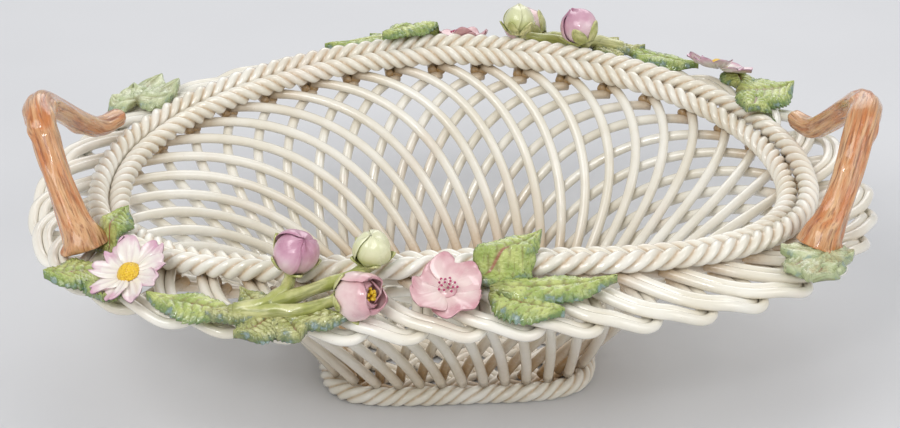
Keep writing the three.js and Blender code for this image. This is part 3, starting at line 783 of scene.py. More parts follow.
@dataclass
class Wall:
    """The bowl: two layers of round strands that lean opposite ways."""

    rim: Rim
    foot: Foot
    strand_diameter: float = 3.6
    strand_count: int = 40
    inner_turn: float = 5.0
    outer_turn: float = 4.2
    flare_power: float = 1.8
    inset: float = 0.9
    settle: float = 0.9
    sway: float = 0.05
    unevenness: float = 0.03
    step: float = 0.01
    halvings: int = 24
    stations: int = 40
    sides: int = 12
    foot_oval: Oval = field(init=False)

    # Glaze pools and painted shade at the foot and at the top, under the rope, of the inner layer and of the
    # outer one
    pools_and_shade = {1: ((0.95, 0.15), (0.5, 0.08)), -1: ((0.35, 0.15), (0.6, 0.08))}

    def __post_init__(self) -> None:
        inset = self.foot.rope_diameter / 2 + self.inset
        self.foot_oval = Oval(self.foot.half_length - inset, self.foot.half_width - inset, self.foot.power)

    def middle(self, share: Array, climb: Array) -> Array:
        """Returns the surface between the layers.

        The plan goes straight from the foot's oval to the rim's as the climb goes from 0 to 1, and the
        height rises by 1 - (1 - climb)^1.8 of the way.
        """
        share, climb = np.broadcast_arrays(share, climb)
        flat = self.foot_oval.at(share) * (1 - climb[..., None]) + self.rim.oval.at(share) * climb[..., None]
        low = self.foot.mat_thickness + self.rim.gap
        under = self.rim.top(share) - self.rim.rope_diameter - self.rim.rope_step
        high = under - self.rim.gap * 1.5 - self.strand_diameter
        rise = 1 - np.maximum(1 - climb, 0) ** self.flare_power
        return stacked(flat[..., 0], flat[..., 1], low + (high - low) * rise)

    def inward(self, share: Array, climb: Array) -> Array:
        """Returns the direction square to the wall, into the bowl."""
        along = self.middle(share + self.step, climb) - self.middle(share - self.step, climb)
        above, below = np.minimum(climb + self.step, 1), np.maximum(climb - self.step, 0)
        return unit(np.cross(self.middle(share, above) - self.middle(share, below), along))

    def place(self, index: Array, climb: Array, lean: int) -> tuple[Array, Array]:
        """Returns the centre line of numbered strands and the inward direction there."""
        pitches = self.inner_turn if lean > 0 else self.outer_turn
        share = (index - lean * pitches * (1 - climb)) / self.strand_count
        inward = self.inward(share, climb)
        return self.middle(share, climb) + inward * lean * (self.strand_diameter + self.rim.gap) / 2, inward

    def strands(self, lean: int) -> Surface:
        """Returns one layer: lean is +1 for the inner layer and -1 for the outer one.

        The foot of each strand is found by halving the climb until its centre stands at the height
        of what it rests on: the mat, or the foot rope, into which it settles a little.
        """
        rests_on = self.foot.mat_thickness if lean > 0 else 2 * self.foot.rope_centre_height() - self.settle
        index = np.arange(self.strand_count, dtype=float)[:, None]
        low, high = np.zeros_like(index), np.ones_like(index)
        for _ in range(self.halvings):
            half = (low + high) / 2
            under = self.place(index, half, lean)[0][..., 2] < rests_on + self.strand_diameter / 2
            low, high = np.where(under, half, low), np.where(under, high, half)
        part = np.linspace(0, 1, self.stations)[None]
        chance = np.random.default_rng(7 + lean)
        sway = self.sway * chance.uniform(-1, 1, (self.strand_count, 1)) * np.sin(math.pi * part)
        centres, inward = self.place(index + sway, high + (1 - high) * part, lean)
        width = 1 + self.unevenness * wave(part * 3 + chance.uniform(0, 1, (self.strand_count, 1)))
        radii = (width * self.strand_diameter / 2)[..., None]
        # Glaze pools and painted shade at the strand's foot and under the rope.
        pool = end_pools_and_shade(part, *self.pools_and_shade[lean])[..., None]
        return tube(centres, inward, radii, self.sides, pool=pool)

    def build(self, dresser: Dresser) -> None:
        """Makes each layer in eight bundles of strands."""
        bundle = self.strand_count / len(SIDES)
        for layer, lean in (("outer", -1), ("inner", 1)):
            strands = self.strands(lean)
            for i, side in enumerate(SIDES):
                first, last = round((i - 0.5) * bundle), round((i + 0.5) * bundle)
                chosen = strands.some([k % self.strand_count for k in range(first, last)])
                place = f"{layer}_{side}"
                dresser.dress(f"strands_{place}", [chosen], "cream_wall", node=f"lattice_{place}")


@dataclass
class Border:
    """Strands in pairs, each pair bent into one loop outside the ropes."""

    rim: Rim
    reach: float = 27.0
    edge_drop: float = 15.0
    edge_droop: float = 8.0
    loop_count: int = 40
    first_loop: int = -3
    strand_diameter: float = 3.4
    pair_share: float = 0.98
    level_gap: float = 0.5
    level_run: tuple[float, float] = (1.2, 2.02)
    # Glaze pools and painted shade at a strand's two ends, which both lie under the ropes.
    rope_pool_and_shade: tuple[float, float] = (0.8, 0.09)
    tip_pool_and_shade: tuple[float, float] = (0.9, 0.12)
    stations: int = 72
    sides: int = 12

    # Stops of one loop as shares: along in pitches and out of the reach
    route = np.array([
        [-0.22, 0.0], [0, 0.2], [0.28, 0.45], [0.6, 0.7], [0.92, 0.87], [1.25, 0.97], [1.55, 1.01],
        [1.82, 1.0], [2.0, 0.91], [2.07, 0.77], [2.09, 0.6], [2.09, 0.35], [2.09, 0.1], [2.09, -0.05],
    ])

    def height(self, share: Array, out_share: Array, level: Array) -> Array:
        """Returns the height of a strand's centre: squared run from the rope to the edge, by level."""
        spacing = self.strand_diameter + self.level_gap
        under = self.rim.top(share) - self.rim.rope_diameter - self.rim.gap
        at_rope = under - self.strand_diameter / 2 - spacing
        edge = self.rim.height - self.edge_drop - self.edge_droop * self.rim.droop_at(share)
        return at_rope + (edge - spacing / 2 - at_rope) * out_share**2 + spacing * level

    def top(self, share: Array, out: Array) -> Array:
        """Returns the border's top surface at a distance outward."""
        return self.height(share, np.maximum(out / self.reach, 0), 1) + self.strand_diameter / 2

    def loops(self) -> tuple[Surface, Surface]:
        """Returns the outer and the inner strand of every loop.

        The pair's middle runs through the route's stops and comes down a level past the edge, and
        each strand lies half a diameter to one side of it, square to its run.
        """
        along, out_share = spline(self.route, self.stations).T
        level = 1 - smooth(along, *self.level_run)
        share = (np.arange(self.loop_count)[:, None] + along) / self.loop_count
        out = (self.reach - self.strand_diameter) * out_share
        middle = self.rim.beside(share, out, self.height(share, out_share, level))
        part = np.linspace(0, 1, self.stations)[:, None]
        # Glaze pools and painted shade where the strands run under the ropes.
        pool = end_pools_and_shade(part, self.rope_pool_and_shade, self.tip_pool_and_shade)
        half = self.strand_diameter / 2
        across = unit(np.cross(np.gradient(middle, axis=1), UP)) * half * self.pair_share
        return tuple(tube(middle + across * side, UP, half, self.sides, pool=pool) for side in (-1, 1))

    def build(self, dresser: Dresser) -> None:
        """Makes eight sectors of five loops."""
        pair = self.loops()
        sector = self.loop_count // len(SIDES)
        for i, side in enumerate(SIDES):
            first = sector * i + self.first_loop
            chosen = [k % self.loop_count for k in range(first, first + sector)]
            surfaces = [strand.some(chosen) for strand in pair]
            dresser.dress(f"loops_{side}", surfaces, "cream_rope", node=f"border_{side}")


@dataclass
class TwigHandle:
    """A twig bent into a handle: a stout leg, a bar and a spur that runs out beside the rope."""

    rim: Rim
    border: Border
    node: str
    side: int
    shift: float = 0.0
    foot_push: float = 0.0
    diameter: float = 9.6
    rise: float = 33.5
    span: float = 96.0
    foot_out: float = 15.5
    ground_share: float = 1.12
    knot_turn: float = 0.35
    broad_ridge: float = 0.045
    flat_ridge: float = 0.034
    fine_ridge: float = 0.022
    stations: int = 260
    end_stations: int = 7
    stops: int = 56

    # Along the span, out as a share of the foot's, up as a share of the rise, and thickness share
    route = np.array([
        [-0.412, 0.93, -0.11, 1.62], [-0.397, 0.955, 0.0, 1.42], [-0.362, 1.0, 0.14, 1.14],
        [-0.3, 1.08, 0.42, 0.98], [-0.255, 1.14, 0.62, 0.98], [-0.215, 1.2, 0.81, 1.0],
        [-0.175, 1.25, 0.95, 1.06], [-0.12, 1.27, 0.99, 1.04], [-0.05, 1.2, 0.95, 0.97],
        [0.06, 1.02, 0.72, 0.86], [0.2, 0.82, 0.36, 0.8], [0.31, 0.76, 0.13, 0.76], [0.44, 0.74, 0.06, 0.62],
    ])

    # Knots: where along, at what angle round, how wide along and how high
    knots = ((0.05, 1.0, 0.03, 0.12), (0.3, 3.6, 0.02, 0.1), (0.46, 0.6, 0.03, 0.16), (0.62, 4.4, 0.02, 0.14),
             (0.83, 2.4, 0.025, 0.2))

    def line(self) -> Array:
        """Returns rows of x, y, z and thickness share along the twig's middle."""
        along, out_share, up, thickness = self.route.T
        middle = 0.0 if self.side > 0 else 0.5
        share = middle + self.side * (along * self.span + self.shift) / self.rim.oval.total
        base = self.border.top(share, self.foot_out) + self.rim.gap + self.diameter * self.ground_share / 2
        out = self.foot_out * out_share + self.foot_push * smooth(-along, 0.16, 0.38)
        centres = self.rim.beside(share, out, base + self.rise * up)
        return spline(np.concatenate([centres, thickness[:, None]], axis=-1), self.stations)

    def build(self, dresser: Dresser) -> None:
        """Makes the twig.

        The radius is half the diameter times the thickness share, times 1 + flat-topped ridges that
        run along the twig and wander slowly round it, + knots that swell over a few millimetres.
        """
        centres, thickness = np.split(self.line(), [3], axis=1)
        part = np.linspace(0, 1, self.stations)[:, None]
        angle = even_angles(self.stops)
        wander = 1.5 * wave(part * 1.2 + self.side / FULL_TURN) + 0.5 * wave(part * 3.1)
        ridges = (
            self.broad_ridge * np.sin(2 * angle + wander)
            + self.flat_ridge * np.tanh(2.2 * np.sin(4 * angle - 2 * wander))
            + self.fine_ridge * np.sin(9 * angle + 3 * wander + 3 * np.sin(8 * part))
        )
        swell = sum(
            height * hump(part - where, width) * hump(np.cos(angle - turn) - 1, self.knot_turn)
            for where, turn, width, height in self.knots
        )
        from_end = np.minimum(np.minimum(part, 1 - part) * self.stations / self.end_stations, 1)
        end = np.sqrt(np.maximum(1 - (1 - from_end) ** 2, 0.01))
        radii = self.diameter / 2 * thickness * (1 + ridges + swell) * end
        # Glaze pools and painted shade in the grooves between the ridges.
        pool = np.clip(-ridges * 8, 0, 1) ** 1.5
        twig = tube(centres[None], unit(centres * [1, 1, 0]), radii[None], self.stops, pool=pool)
        dresser.dress(f"bark_{self.node}", [twig], "bark_glaze", node=self.node)


# Leaves and flowers


@dataclass
class Ground:
    """What leaves lie on: the ropes' tops, then a slope down to the border's top."""

    rim: Rim
    border: Border
    strip: float = 2.4

    def height(self, share: Array, out: Array) -> Array:
        """Returns the resting height: a smooth step between the two, over the outer rope's shoulder."""
        slope = smooth(out, self.rim.rope_diameter - self.rim.gap, self.rim.rope_diameter + self.strip)
        return self.rim.top(share) * (1 - slope) + self.border.top(share, out) * slope


class LeafKind(Enum):
    """Long leaves with saw teeth, and round leaflets with lobed edges."""

    TOOTHED = "toothed"
    LOBED = "lobed"

    def outline(self, share: Array) -> Array:
        """Returns the half width along the leaf, as a share of its half width, with its teeth or lobes."""
        if self is LeafKind.TOOTHED:
            stops = (0.16, 0.6, 0.92, 1.0, 0.9, 0.68, 0.38, 0.03)
            teeth = 0.9 + 0.17 * ((share * 13) % 1.0)
        else:
            stops = (0.3, 0.78, 1.0, 1.06, 1.02, 0.88, 0.6, 0.1)
            teeth = 0.86 + 0.18 * np.abs(np.sin(math.pi * share * 3.5))
        return np.maximum(spline(np.array(stops)[:, None], len(share))[:, 0], 0.03) * teeth


@dataclass
class LeafBlade:
    """A modelled leaf laid over ropes and border, from a base to a tip beside the rim."""

    share: float
    out: float
    along_tip: float
    out_tip: float
    width: float
    lift: float
    kind: LeafKind = LeafKind.TOOTHED
    veins: float = 8.0
    pleats: float = 3.2
    bend: float = 0.09
    fold: float = 1.1
    furrow: float = 0.9
    ridge_height: float = 0.95
    ripple: float = 0.8
    curl: float = 0.9
    thickness: float = 1.5
    clearance: float = 0.5
    grid: tuple[int, int] = (101, 31)

    def surface(self, ground: Ground, seed: int) -> Surface:
        """Lays the blade.

        The height is the ground's + a fold that peaks along the rib, which is itself a narrow furrow,
        + rounded ridges between veins that run forward from it, where share - |side| is evenly
        spaced (on a lobed leaf: pleats that fan out from its base), + a ripple that grows towards the
        edge + a tip that curls up.

        Args:
            ground: what the leaf lies on.
            seed: fixes its ripple.
        """
        share, side, layer = sheet_grid(*self.grid)
        run = np.array([self.along_tip, self.out_tip - self.out])
        across = unit(np.array([-run[1], run[0]]))
        bend = self.bend * np.sin(math.pi * share + seed) * self.width
        offset = self.width / 2 * self.kind.outline(share[:, 0])[:, None] * side + bend
        out = self.out + run[1] * share + across[1] * offset
        at = self.share + (run[0] * share + across[0] * offset) / ground.rim.oval.total
        away = np.abs(side)
        sway = 0.25 * np.sin(5 * share + seed * side)
        if self.kind is LeafKind.LOBED:
            phase = self.pleats * side + sway
        else:
            phase = (share - away) * self.veins + sway + (side > 0) * 0.35
        ridge = np.abs(np.sin(math.pi * phase))
        fold = self.fold * (1 - away) - self.furrow * hump(away, 0.08)
        ripple = self.ripple * away**2 * np.sin(FULL_TURN * share * 2.2 + seed + side)
        relief = fold + self.ridge_height * ridge**0.6 * away**0.4 * (1.15 - away**4) + ripple
        top = relief * smooth(share, -0.15, 0.12) + self.thickness * rounded_edge(side, 6)
        base = ground.height(at, out) + self.clearance + self.lift + self.curl * smooth(share, 0.7, 1.0)
        points = ground.rim.beside(at, out, base + np.where(layer > 0, top, 0.35 * relief - 0.1))
        lay = stacked(side, share, 1 - ridge * away**0.3)
        # Glaze pools and painted shade at the leaf's base.
        return Surface(points[None], lay, 0.4 * (1 - smooth(share, 0.0, 0.2)))


def lay_blades(
    ground: Ground, turn: float, blades: tuple[Blade, ...], seed: int, kind: LeafKind = LeafKind.TOOTHED
) -> list[Surface]:
    """Lays the leaves of one group, turned round the rim by a share.

    Args:
        ground: what they lie on.
        turn: the share that they are turned by.
        blades: for each, share, out, along to the tip, out of the tip, width and lift.
        seed: the first leaf's seed.
        kind: their form.
    """
    return [
        LeafBlade(share + turn, *rest, kind=kind).surface(ground, seed + i)
        for i, (share, *rest) in enumerate(blades)
    ]


@dataclass
class Seat:
    """A frame that stands beside the rim and leans outward: side, front and the flower's own axis."""

    origin: Array
    side: Array
    front: Array
    axis: Array

    @classmethod
    def beside(cls, rim: Rim, share: float, out: float, up: float, lean: float, sweep: float) -> "Seat":
        """Stands a seat beside the rim.

        Args:
            rim: the rim.
            share: where along it.
            out: how far outward of the seam.
            up: how far above the ropes' tops.
            lean: how far the axis leans outward, in radians.
            sweep: how far it then leans along the rim, in radians.
        """
        away = np.append(rim.oval.outward(share), 0.0)
        upright = away * math.sin(lean) + UP * math.cos(lean)
        onward = np.array([-away[1], away[0], 0.0])
        front = np.cross(upright, onward)
        axis = upright * math.cos(sweep) + onward * math.sin(sweep)
        return cls(rim.beside(share, out, rim.top(share) + up), np.cross(front, axis), front, axis)

    def place(self, x: Array, y: Array, z: Array) -> Array:
        """Returns places in the basket's frame for places on the seat."""
        return self.origin + stacked(x, y, z) @ np.array([self.side, self.front, self.axis])

    def polar(self, reach: Array, angle: Array, height: Array) -> Array:
        """Returns places in the basket's frame for a reach from the axis, an angle and a height."""
        return self.place(reach * np.cos(angle), reach * np.sin(angle), height)

    def raised(self, height: float) -> "Seat":
        """Returns the seat moved up its own axis."""
        return Seat(self.origin + self.axis * height, self.side, self.front, self.axis)


@dataclass
class OpenFlower:
    """Petals round a heart."""

    seat: Seat
    petals: int
    radius: float
    petal_width: float
    hub_share: float
    cup: float
    notch: float
    heart_radius: float
    heart_rise: float
    ruffle: float
    seed: int
    thickness: float = 1.1
    lift: float = 2.4
    overlap: float = 0.8
    stagger: float = 0.5
    furrow: float = 0.6
    grid: tuple[int, int] = (26, 19)
    heart_stations: int = 16
    heart_stops: int = 32

    def petal_surface(self) -> Surface:
        """Lays the petals.

        Out from the hub the half width swells as sin(pi/2 * 1.25 share)^0.9 to a round tip with a
        notch. The height is lift * (reach / radius)^2 + cup * side^2 + a ruffle near the tip, with two
        shallow furrows along the petal, and each petal lies a little over the next one on one side.
        """
        share, side, layer = sheet_grid(*self.grid)
        number = np.arange(self.petals)[:, None, None]
        chance = np.random.default_rng(self.seed)
        longer, wider, shift = chance.uniform(-1, 1, (3, self.petals))[:, :, None, None]
        tip = np.sqrt(np.maximum(1 - (np.abs(side) * 0.84) ** 2.8, 0))
        tip = tip * (1 - self.notch * hump(side + 0.2 * shift, 0.22))
        hub = self.hub_share * self.radius
        reach = hub + (self.radius * (1 + 0.07 * longer) * tip - hub) * share
        swell = 0.22 + 0.78 * np.sin(math.pi / 2 * np.minimum(share * 1.25, 1)) ** 0.9
        across = self.petal_width / 2 * swell * side * (1 + 0.08 * wider)
        furrows = hump(np.abs(side) - 0.35, 0.16) * np.sin(math.pi * np.minimum(share, 0.95))
        height = self.lift * (reach / self.radius) ** 2 + self.cup * side**2 * share - self.furrow * furrows
        height = height + self.overlap * (side + shift) * share + self.stagger * (number % 2)
        height = height + self.ruffle * share**3 * np.sin(side * 5 + 3 * shift)
        height = height + layer * self.thickness * rounded_edge(side, 6) * (1 - 0.6 * share**6)
        angle = FULL_TURN * (number + 0.12 * shift) / self.petals
        x = reach * np.cos(angle) - across * np.sin(angle)
        y = reach * np.sin(angle) + across * np.cos(angle)
        # Glaze pools and painted shade near the hub and in the furrows.
        pool = 0.3 * (1 - smooth(share, 0.0, 0.3)) + 0.35 * furrows
        return Surface(self.seat.place(x, y, height), stacked(side, share, layer), pool)

    def heart_surface(self) -> Surface:
        """Lays the heart: a dome whose height is rise * cos(pi/2 * share^1.5), closed flat below."""
        share = np.concatenate([[0.001, 0.5], np.linspace(1, 0.02, self.heart_stations)])[:, None]
        dome = self.heart_rise * np.cos(math.pi / 2 * np.linspace(1, 0, self.heart_stations) ** 1.5)
        height = np.concatenate([[0.0, 0.0], dome])[:, None]
        rest = self.thickness + self.lift * (self.heart_radius / self.radius) ** 2
        points = self.seat.polar(self.heart_radius * share, even_angles(self.heart_stops), height + rest)
        return Surface(points[None], stacked(0.0, share, 0.0))


@dataclass
class Stamens:
    """Short threads that fan out from a flower's middle, each with a round head."""

    seat: Seat
    reach: float
    height: float
    bead: float
    count: int
    thread_radius: float = 0.22

    def surfaces(self) -> list[Surface]:
        """Returns the threads and the heads.

        Thread k leans out at a golden-angle turn, and its head is a ball on its end.
        """
        number = np.arange(self.count)[:, None]
        part = np.linspace(0, 1, 8)
        outward = self.reach * np.sqrt((number + 0.5) / self.count) * part
        height = self.height * np.sin(math.pi / 2 * part) * (1.15 - 0.4 * number / self.count)
        line = self.seat.polar(outward, number * GOLDEN_ANGLE, height)
        ball = np.linspace(-0.99, 0.99, 8)[:, None]
        centres = line[:, -1:] + self.seat.axis * ball * self.bead
        heads = tube(centres, self.seat.side, self.bead * np.sqrt(1 - ball**2), 8)
        return [tube(line, self.seat.side, self.thread_radius, 6), heads]


@dataclass
class Bud:
    """A bud of petals wrapped round an axis, on a narrow base with sepals."""

    seat: Seat
    radius: float
    length: float
    turn: float
    petals: int = 3
    openness: float = 0.0
    thickness: float = 0.8
    overlap: float = 0.4
    curl: float = 1.6
    twist: float = 0.7
    inner_shrink: float = 0.26
    grid: tuple[int, int] = (30, 19)
    sepals: int = 5
    sepal_share: float = 0.42

    # Radius shares from base to tip of a closed bud
    profile = np.array([[0.36], [0.74], [0.94], [1.0], [0.97], [0.85], [0.6], [0.05]])

    def reach(self, share: Array) -> Array:
        """Returns the radius at a share of the length: the profile, held open towards the tip."""
        outline, steps = spline(self.profile, 200)[:, 0], np.linspace(0, 1, 200)
        closed, held = (np.interp(s, steps, outline) for s in (share, np.minimum(share, 0.5)))
        return self.radius * (closed + (held - closed) * self.openness)

    def petal_surface(self) -> Surface:
        """Wraps the petals.

        Each spans part of a turn, lies over the next one by a swell across it and curls at its tip.
        """
        share, side, layer = sheet_grid(*self.grid)
        number = np.arange(self.petals)[:, None, None]
        inner = number // 3
        span = FULL_TURN * 0.5 * (1 - 0.3 * share**3)
        angle = self.turn + FULL_TURN * (number / 3 + 0.17 * inner) + side * span / 2 + self.twist * share
        reach = self.reach(share) * (1 - self.inner_shrink * inner) * (1 + 0.05 * side) + self.overlap * side
        curl = self.openness * self.curl * smooth(share, 0.7, 1.0) * (1 - 0.6 * inner)
        reach = np.maximum(reach + curl - (1 - layer) * self.thickness * rounded_edge(side, 6), 0.05)
        tip = 1 - 0.2 * self.openness * side**2 - 0.03 * np.sin(side * 6 + number)
        points = self.seat.polar(reach, angle, self.length * share * tip * (1 - 0.08 * inner))
        # Glaze pools and painted shade at the petals' overlapping edges and near the base.
        pool = 0.5 * side**8 + 0.4 * (1 - smooth(share, 0.0, 0.25))
        return Surface(points, stacked(side, share, layer), pool)

    def core_surface(self) -> Surface:
        """Fills the bud with a rounded core, so that nothing is seen through its petals."""
        share = np.linspace(0, 1, 20)[:, None]
        closed = np.interp(share, np.linspace(0, 1, len(self.profile)), self.profile[:, 0])
        reach = self.radius * closed * (0.92 - 0.4 * self.openness)
        height = self.length * share * (0.96 - 0.4 * self.openness)
        # The core is darkened all over, as painted shade inside the bud and as glaze pools.
        return Surface(self.seat.polar(reach, even_angles(24), height)[None], stacked(0.0, share, 0.0), 0.4)

    def sepal_surface(self) -> Surface:
        """Lays pointed sepals up from the base, just outside the petals."""
        share, side, layer = sheet_grid(18, 9)
        number = np.arange(self.sepals)[:, None, None]
        up = share * self.sepal_share
        span = 0.66 * (1 - share) ** 0.7 + 0.02
        angle = self.turn + 0.4 + FULL_TURN * number / self.sepals + side * span
        flick = 0.7 * smooth(share, 0.6, 1.0)
        reach = self.reach(up) + 0.25 + flick + layer * 0.8 * rounded_edge(side)
        points = self.seat.polar(reach, angle, self.length * up - 0.6 * (1 - share))
        return Surface(points, stacked(side * 2, 4 * share, number * 3))


@dataclass
class Sprig:
    """Forked stems of one cluster, which end under its buds."""

    rim: Rim
    turn: float
    diameter: float = 4.4
    taper: float = 0.4
    knob: float = 0.1
    cup: float = 0.45
    stations: int = 56
    sides: int = 18

    # Share, out and up of the fork, then of the bends and the end of each of the three stems
    fork = [0.652, 24.5, -6]
    routes = np.array([
        [fork, [0.662, 23.5, -4.4], [0.668, 18, -3], [0.6695, 12.5, -1.8], [0.6675, 7.4, 0.9]],
        [fork, [0.667, 21.5, -4.4], [0.681, 15, -3.2], [0.696, 10.5, -1.4], [0.7047, 7, 0.6]],
        [fork, [0.668, 25.2, -5.2], [0.678, 24.4, -5.2], [0.686, 22, -4.8], [0.6925, 18.9, -4.5]],
    ])

    def surface(self) -> Surface:
        """Carries a round profile along the stems, thinner towards the buds, with knobs and a cup."""
        share, out, up = np.moveaxis(self.routes, -1, 0)
        share = share + self.turn
        line = spline(self.rim.beside(share, out, self.rim.top(share) + up), self.stations)
        part = np.linspace(0, 1, self.stations)[:, None]
        number = np.arange(len(line))[:, None, None]
        knobs = self.knob * wave(part * 4 + number * 0.3) * np.sin(2 * even_angles(self.sides) + number)
        cups = 1 + self.cup * smooth(part, 0.86, 1.0)
        return tube(line, UP, self.diameter / 2 * (1.15 - self.taper * part) * (1 + knobs) * cups, self.sides)


@dataclass
class Cluster:
    """One cluster of flowers, buds, stems and leaves: turn is 0 at the front and 1/2 at the back."""

    name: str
    turn: float
    ground: Ground

    # The blades of each leaf node
    blades = {
        "leaf_far_left": ((0.5865, 17, -9, 35, 19, 0.2), (0.589, 20, 7, 33, 12, 0.0)),
        "leaf_on_rope": ((0.57, 10.5, -10.5, -3, 14.5, 0.8),),
        "leaf_middle": ((0.65, 24.5, -24, 25, 14, 0.0),),
        "sprig_leaf": (
            (0.668, 24, -8, 35, 13, 0.0), (0.668, 24, 9, 34, 13, 0.0), (0.667, 22.5, -13, 15, 11, 0.0),
            (0.668, 22, -17, 29, 11, 0.6), (0.669, 24, 20, 25.5, 9, 0.6),
        ),
        "leaf_spray": (
            (0.7495, 12, 22, -3, 14.5, 1.3), (0.7565, 14.8, 37, 14, 12.5, 1.4),
            (0.7575, 15.1, 18, 27, 14.5, 0.0),
        ),
    }

    def seat(self, share: float, out: float, up: float, lean: float, sweep: float = 0.0) -> Seat:
        """Stands a seat for one flower of this cluster."""
        return Seat.beside(self.ground.rim, share + self.turn, out, up, lean, sweep)

    def build(self, dresser: Dresser) -> None:
        """Makes every piece of the cluster."""
        for number, (leaf, blades) in enumerate(self.blades.items()):
            surfaces = lay_blades(self.ground, self.turn, blades, number * 3)
            node = f"{self.name}_{leaf}"
            finish = "sprig_glaze" if leaf == "sprig_leaf" else ""
            dresser.dress(f"{node}_veined", surfaces, "leaf_glaze", finish, node)
        stems = Sprig(self.ground.rim, self.turn).surface()
        node = f"{self.name}_sprig_stems"
        dresser.dress(f"{node}_forked", [stems], "leaf_glaze", "stem_glaze", node)
        self.build_daisy(dresser)
        self.build_rose(dresser)
        self.build_buds(dresser)

    def build_daisy(self, dresser: Dresser) -> None:
        """Makes the daisy with its pitted heart."""
        seat = self.seat(0.601, 20.5, -1.5, 0.45)
        daisy = OpenFlower(
            seat, petals=9, radius=13.4, petal_width=6.9, hub_share=0.16, cup=1.2, notch=0.12,
            heart_radius=3.9, heart_rise=2.6, ruffle=0.5, seed=3,
        )
        node = f"{self.name}_daisy"
        dresser.dress(f"{node}_rays", [daisy.petal_surface()], "white_petal", node=f"{node}_petals")
        dresser.dress(f"{node}_boss", [daisy.heart_surface()], "yellow_heart", node=f"{node}_heart")

    def build_rose(self, dresser: Dresser) -> None:
        """Makes the open five-petalled flower with its stamens."""
        seat = self.seat(0.738, 14.2, -6.7, 0.38)
        rose = OpenFlower(
            seat, petals=5, radius=10.9, petal_width=15.8, hub_share=0.14, cup=2.2, notch=0.08,
            heart_radius=3.0, heart_rise=1.2, ruffle=1.2, seed=8,
        )
        node = f"{self.name}_rose"
        threads, heads = Stamens(seat.raised(1.8), reach=3.2, height=2.0, bead=0.42, count=15).surfaces()
        dresser.dress(f"{node}_blades", [rose.petal_surface()], "pink_petal", node=f"{node}_petals")
        dresser.dress(f"{node}_middle", [rose.heart_surface(), threads], "pink_petal")
        dresser.dress(f"{node}_stamens", [heads], "magenta_heart", node=f"{node}_heart")

    def build_buds(self, dresser: Dresser) -> None:
        """Makes the half-open rosebud, with a tuft in its mouth, and the two closed buds."""
        rosebud = Bud(
            self.seat(0.6936, 18.3, -4.1, 0.9, 1.0), radius=7.0, length=13.5, petals=6, openness=0.6, turn=0.8
        )
        pink_bud = Bud(self.seat(0.667, 6.5, 1.4, 0.4, 0.5), radius=6.8, length=13.6, turn=1.0)
        green_bud = Bud(self.seat(0.705, 5.8, 1.1, 0.35), radius=5.6, length=11.2, turn=2.0)
        for name, bud, slot, finish in (
            ("rosebud", rosebud, "pink_petal", ""),
            ("pink_bud", pink_bud, "pink_petal", "mauve_petal"),
            ("green_bud", green_bud, "pale_bud", ""),
        ):
            node = f"{self.name}_{name}"
            dresser.dress(f"{node}_wrapped", [bud.petal_surface(), bud.core_surface()], slot, finish, node)
            dresser.dress(f"{node}_sepals", [bud.sepal_surface()], "leaf_glaze", "stem_glaze")
        tuft = Stamens(rosebud.seat.raised(8.0), reach=2.2, height=3.6, bead=0.7, count=9).surfaces()
        dresser.dress(f"{self.name}_rosebud_tuft", tuft, "yellow_heart")


@dataclass
class FootLeaves:
    """A fan of round leaflets that covers a handle's foot away from the clusters."""

    ground: Ground
    name: str
    turn: float
    seed: int = 20
    blades = (
        (0.412, 21, -15, 20, 13, 0.2), (0.4135, 20.8, 2, 30, 12, 0.1), (0.4128, 21.6, -14, 30, 12, 0.3),
        (0.4128, 21.6, -4, 31, 11, 0.6), (0.4135, 21, -9, 12, 11, 1.2),
    )

    def build(self, dresser: Dresser) -> None:
        """Makes the fan."""
        surfaces = lay_blades(self.ground, self.turn, self.blades, self.seed, LeafKind.LOBED)
        dresser.dress(f"{self.name}_fan", surfaces, "leaf_glaze", "fan_glaze", self.name)


# The studio


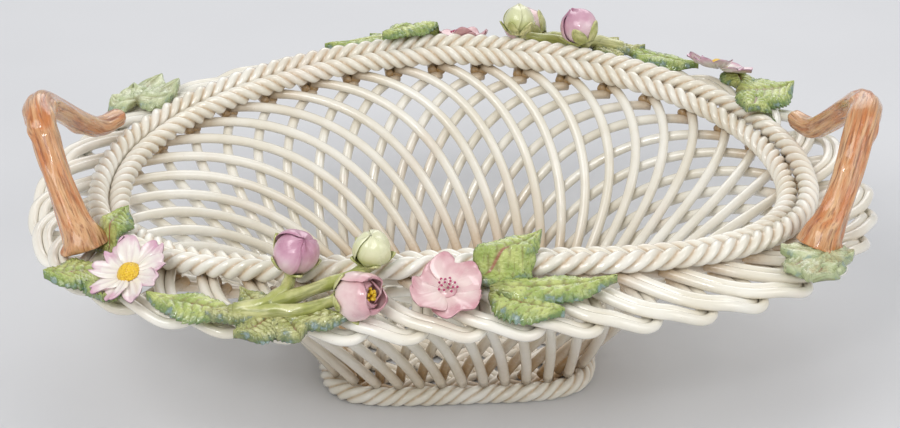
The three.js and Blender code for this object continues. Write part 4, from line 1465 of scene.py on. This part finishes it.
@dataclass
class Studio:
    """A plain pale floor, soft lights and the camera."""

    floor_size: float = 12.0
    floor_colour: Colour = (206, 206, 208)
    floor_cloud: Colour = (255, 255, 255)
    room_colour: tuple[float, ...] = (0.95, 0.97, 1.0, 1.0)
    room_strength: float = 0.55
    azimuth: float = -3.6
    elevation: float = 27.4
    distance: float = 700.0
    aim_height: float = 52.0
    lens: float = 80.3
    shift: float = -4 / 900

    # Each panel's name, place and size in metres, and power in watts
    panels = (
        ("key", (-0.75, -0.75, 1.15), 0.8, 9.0),
        ("fill", (1.0, -0.7, 0.8), 0.9, 5.5),
        ("back", (0.2, 1.1, 0.9), 1.0, 6.0),
        ("glint", (-0.35, -0.95, 0.85), 0.14, 2.0),
    )

    def build(self) -> None:
        """Makes the floor, the lights and the camera."""
        self.build_floor()
        self.build_lights()
        self.build_camera()

    def build_floor(self) -> None:
        """Lays a wide floor, faintly clouded."""
        glaze = Glaze("studio_floor")
        cloud = glaze.noise(glaze.place(), 0.01, 2.0)
        glaze.finish(Base_Color=glaze.mix(cloud * 0.15, self.floor_colour, self.floor_cloud), Roughness=0.7)
        bpy.ops.mesh.primitive_plane_add(size=self.floor_size, location=(0, 0, 0))
        floor = bpy.context.object
        floor.name = "studio_floor"
        floor.data.materials.append(glaze.material)

    def build_lights(self) -> None:
        """Hangs three soft panels and a small one for glints, and lights the room evenly."""
        for name, place, size, power in self.panels:
            light = bpy.data.lights.new(name, "AREA")
            light.shape = "SQUARE"
            light.size = size
            light.energy = power
            panel = bpy.data.objects.new(name, light)
            panel.location = place
            aim = Vector((0, 0, 0.05)) - Vector(place)
            panel.rotation_euler = aim.to_track_quat("-Z", "Y").to_euler()
            bpy.context.scene.collection.objects.link(panel)
        world = bpy.context.scene.world or bpy.data.worlds.new("studio")
        bpy.context.scene.world = world
        world.use_nodes = True
        room = world.node_tree.nodes["Background"]
        room.inputs["Color"].default_value = self.room_colour
        room.inputs["Strength"].default_value = self.room_strength
        bpy.context.scene.view_settings.view_transform = "Standard"

    def build_camera(self) -> None:
        """Places the camera that the photograph's rim, foot and border outlines give."""
        turn, rise = math.radians(self.azimuth), math.radians(self.elevation)
        back = Vector((math.sin(turn) * math.cos(rise), -math.cos(turn) * math.cos(rise), math.sin(rise)))
        lens = bpy.data.cameras.new("studio_camera")
        lens.lens = self.lens
        lens.shift_x = self.shift
        lens.clip_start = 0.01
        lens.clip_end = 30
        camera = bpy.data.objects.new("studio_camera", lens)
        camera.location = Vector((0, 0, self.aim_height * METRES)) + back * self.distance * METRES
        camera.rotation_euler = (-back).to_track_quat("-Z", "Y").to_euler()
        bpy.context.scene.collection.objects.link(camera)
        bpy.context.scene.camera = camera


def main() -> None:
    """Builds the studio and every sub-assembly, in order."""
    logging.basicConfig(level=logging.INFO, format="%(message)s")
    Studio().build()
    dresser = Dresser()
    rim, foot = Rim(), Foot()
    border = Border(rim)
    ground = Ground(rim, border)
    for part in (
        foot,
        Wall(rim, foot),
        border,
        RimRopes(rim),
        TwigHandle(rim, border, "handle_left", -1),
        TwigHandle(rim, border, "handle_right", 1, shift=-14.0, foot_push=2.6),
        Cluster("front", 0.0, ground),
        Cluster("back", 0.5, ground),
        FootLeaves(ground, "left_handle_leaf", 0.0),
        FootLeaves(ground, "right_handle_leaf", 0.5),
    ):
        part.build(dresser)


if __name__ == "__main__":
    main()
